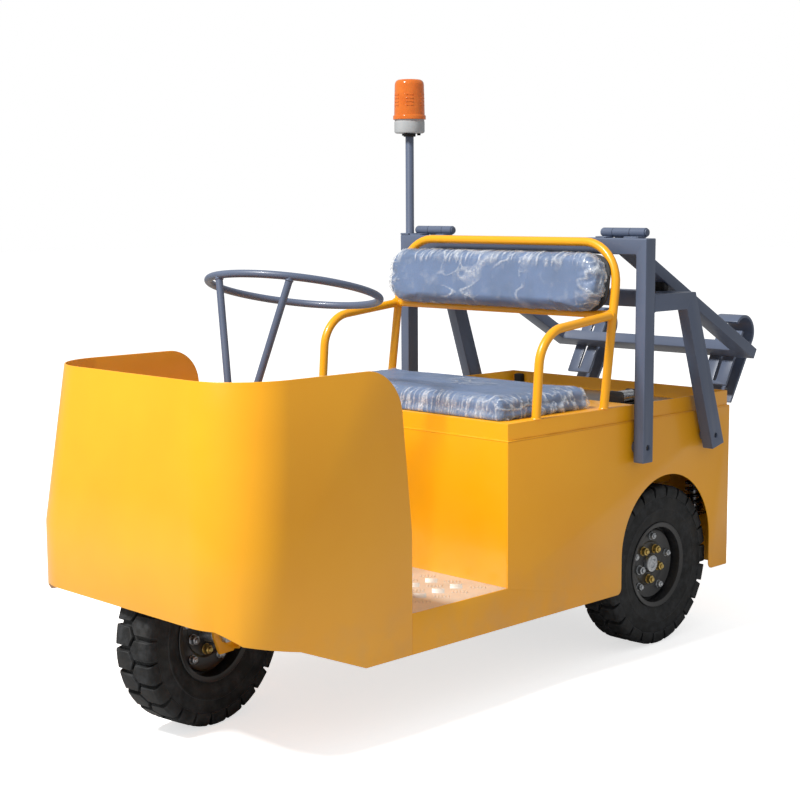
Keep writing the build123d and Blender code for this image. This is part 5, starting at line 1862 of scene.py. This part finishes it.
# ---------------------------------------------------------------- load tray
@dataclass
class TrayGear:
    """Latch cylinder on its feet and a small stop on the tray's floor."""

    back: float = 0.0
    front: float = 74.0
    y: float = 272.0
    z: float = 641.0
    floor_z: float = 603.0

    def make(self) -> None:
        """Build the latch and the stop."""
        x0, x1, y = ahead(self.back), ahead(self.front), across(self.y)
        r, thick, half = 0.0165, 0.004, 0.0245
        section = [(x0 + thick, 0), (x0 + thick, r - 0.001), (x0 + 0.005, r), (x1 - 0.005, r),
                   (x1 - thick, r - 0.001), (x1 - thick, 0)]
        tube = Bench("latch_cylinder").lathe(section, 36, "X", (0, y, self.z * MM))
        tube.smooth(35).dress(Finish.CHROME).mount("chassis", "zinc_steel")
        feet, low = [], self.floor_z * MM + 0.0001
        for x in (x0, x1 - thick):
            foot = Bench("foot").block((x, y - half, low), (x + thick, y + half, 0.6585))
            foot.pick("edges", lambda v: min(v[0].z, v[1].z) > 0.65
                      and abs(v[0].y - v[1].y) < MERGE)
            bpy.ops.mesh.bevel(offset=0.010, segments=5)
            feet.append(foot.done().ease(0.0006, 2, 50))
        base = Bench("base").block((x0 - 0.006, y - half, low),
                                   (x1 + 0.006, y + half, low + 0.0029))
        made = joined("latch_feet", [*feet, base.ease(0.0008, 2)]).smooth(35)
        made.dress(Finish.BLACK).mount("chassis", "dark_paint")
        stop = Bench("tray_stop").block((ahead(-272.0), across(-356.0), 0.6031),
                                        (ahead(-252.0), across(-330.0), 0.632))
        stop.ease(0.004, 3).smooth(35).dress(Finish.BUFFER).mount("chassis", "pad_rubber")


def cushions() -> list[Cushion]:
    """The seat's pad and the backrest's, with their places."""
    tubes = SeatFrame()
    lean = radians(tubes.lean)
    seat = Matrix(((0, -1, 0), (1, 0, 0), (0, 0, 1))).to_4x4()
    seat.translation = (ahead((262 + 601) / 2), across(0), 0.6393)
    out, up = Vector((cos(lean), 0, sin(lean))), Vector((-sin(lean), 0, cos(lean)))
    back = Matrix((AXES["Y"], up, out)).transposed().to_4x4()
    back.translation = Vector(tubes.on_hoop(0, tubes.rail_z)) + up * 0.075 + out * 0.0171
    return [
        Cushion("seat", "seat_cushion", seat, long=0.692, wide=0.339, thick=0.054, corner=0.020,
                edge=0.016, gathers_at=-1, streak_along=4.0, seed=2.0),
        Cushion("backrest", "backrest_cushion", back, long=0.706, wide=0.150, thick=0.055,
                corner=0.058, edge=0.020, gathers_at=1, streak_along=6.0, seed=9.0, cap=0.006),
    ]


def main() -> None:
    """Build the machine on its CAD frame."""
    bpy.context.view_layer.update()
    wheels = [RoadWheel(name, f"{name}_wheel", f"{name}_wheel_spin", side)
              for name, side in (("front", 1), ("rear_left", 1), ("rear_right", -1))]
    for part in (Studio(), *cushions(), *wheels, Panels(), SeatFrame(), SteeringRing(), Beacon(),
                 LiftGear(), Footwell(), Fixings(), RearSuspension(), ForkTips(), TrayGear()):
        part.make()


if __name__ == "__main__":
    logging.basicConfig(level=logging.INFO, format="%(levelname)s %(message)s")
    main()
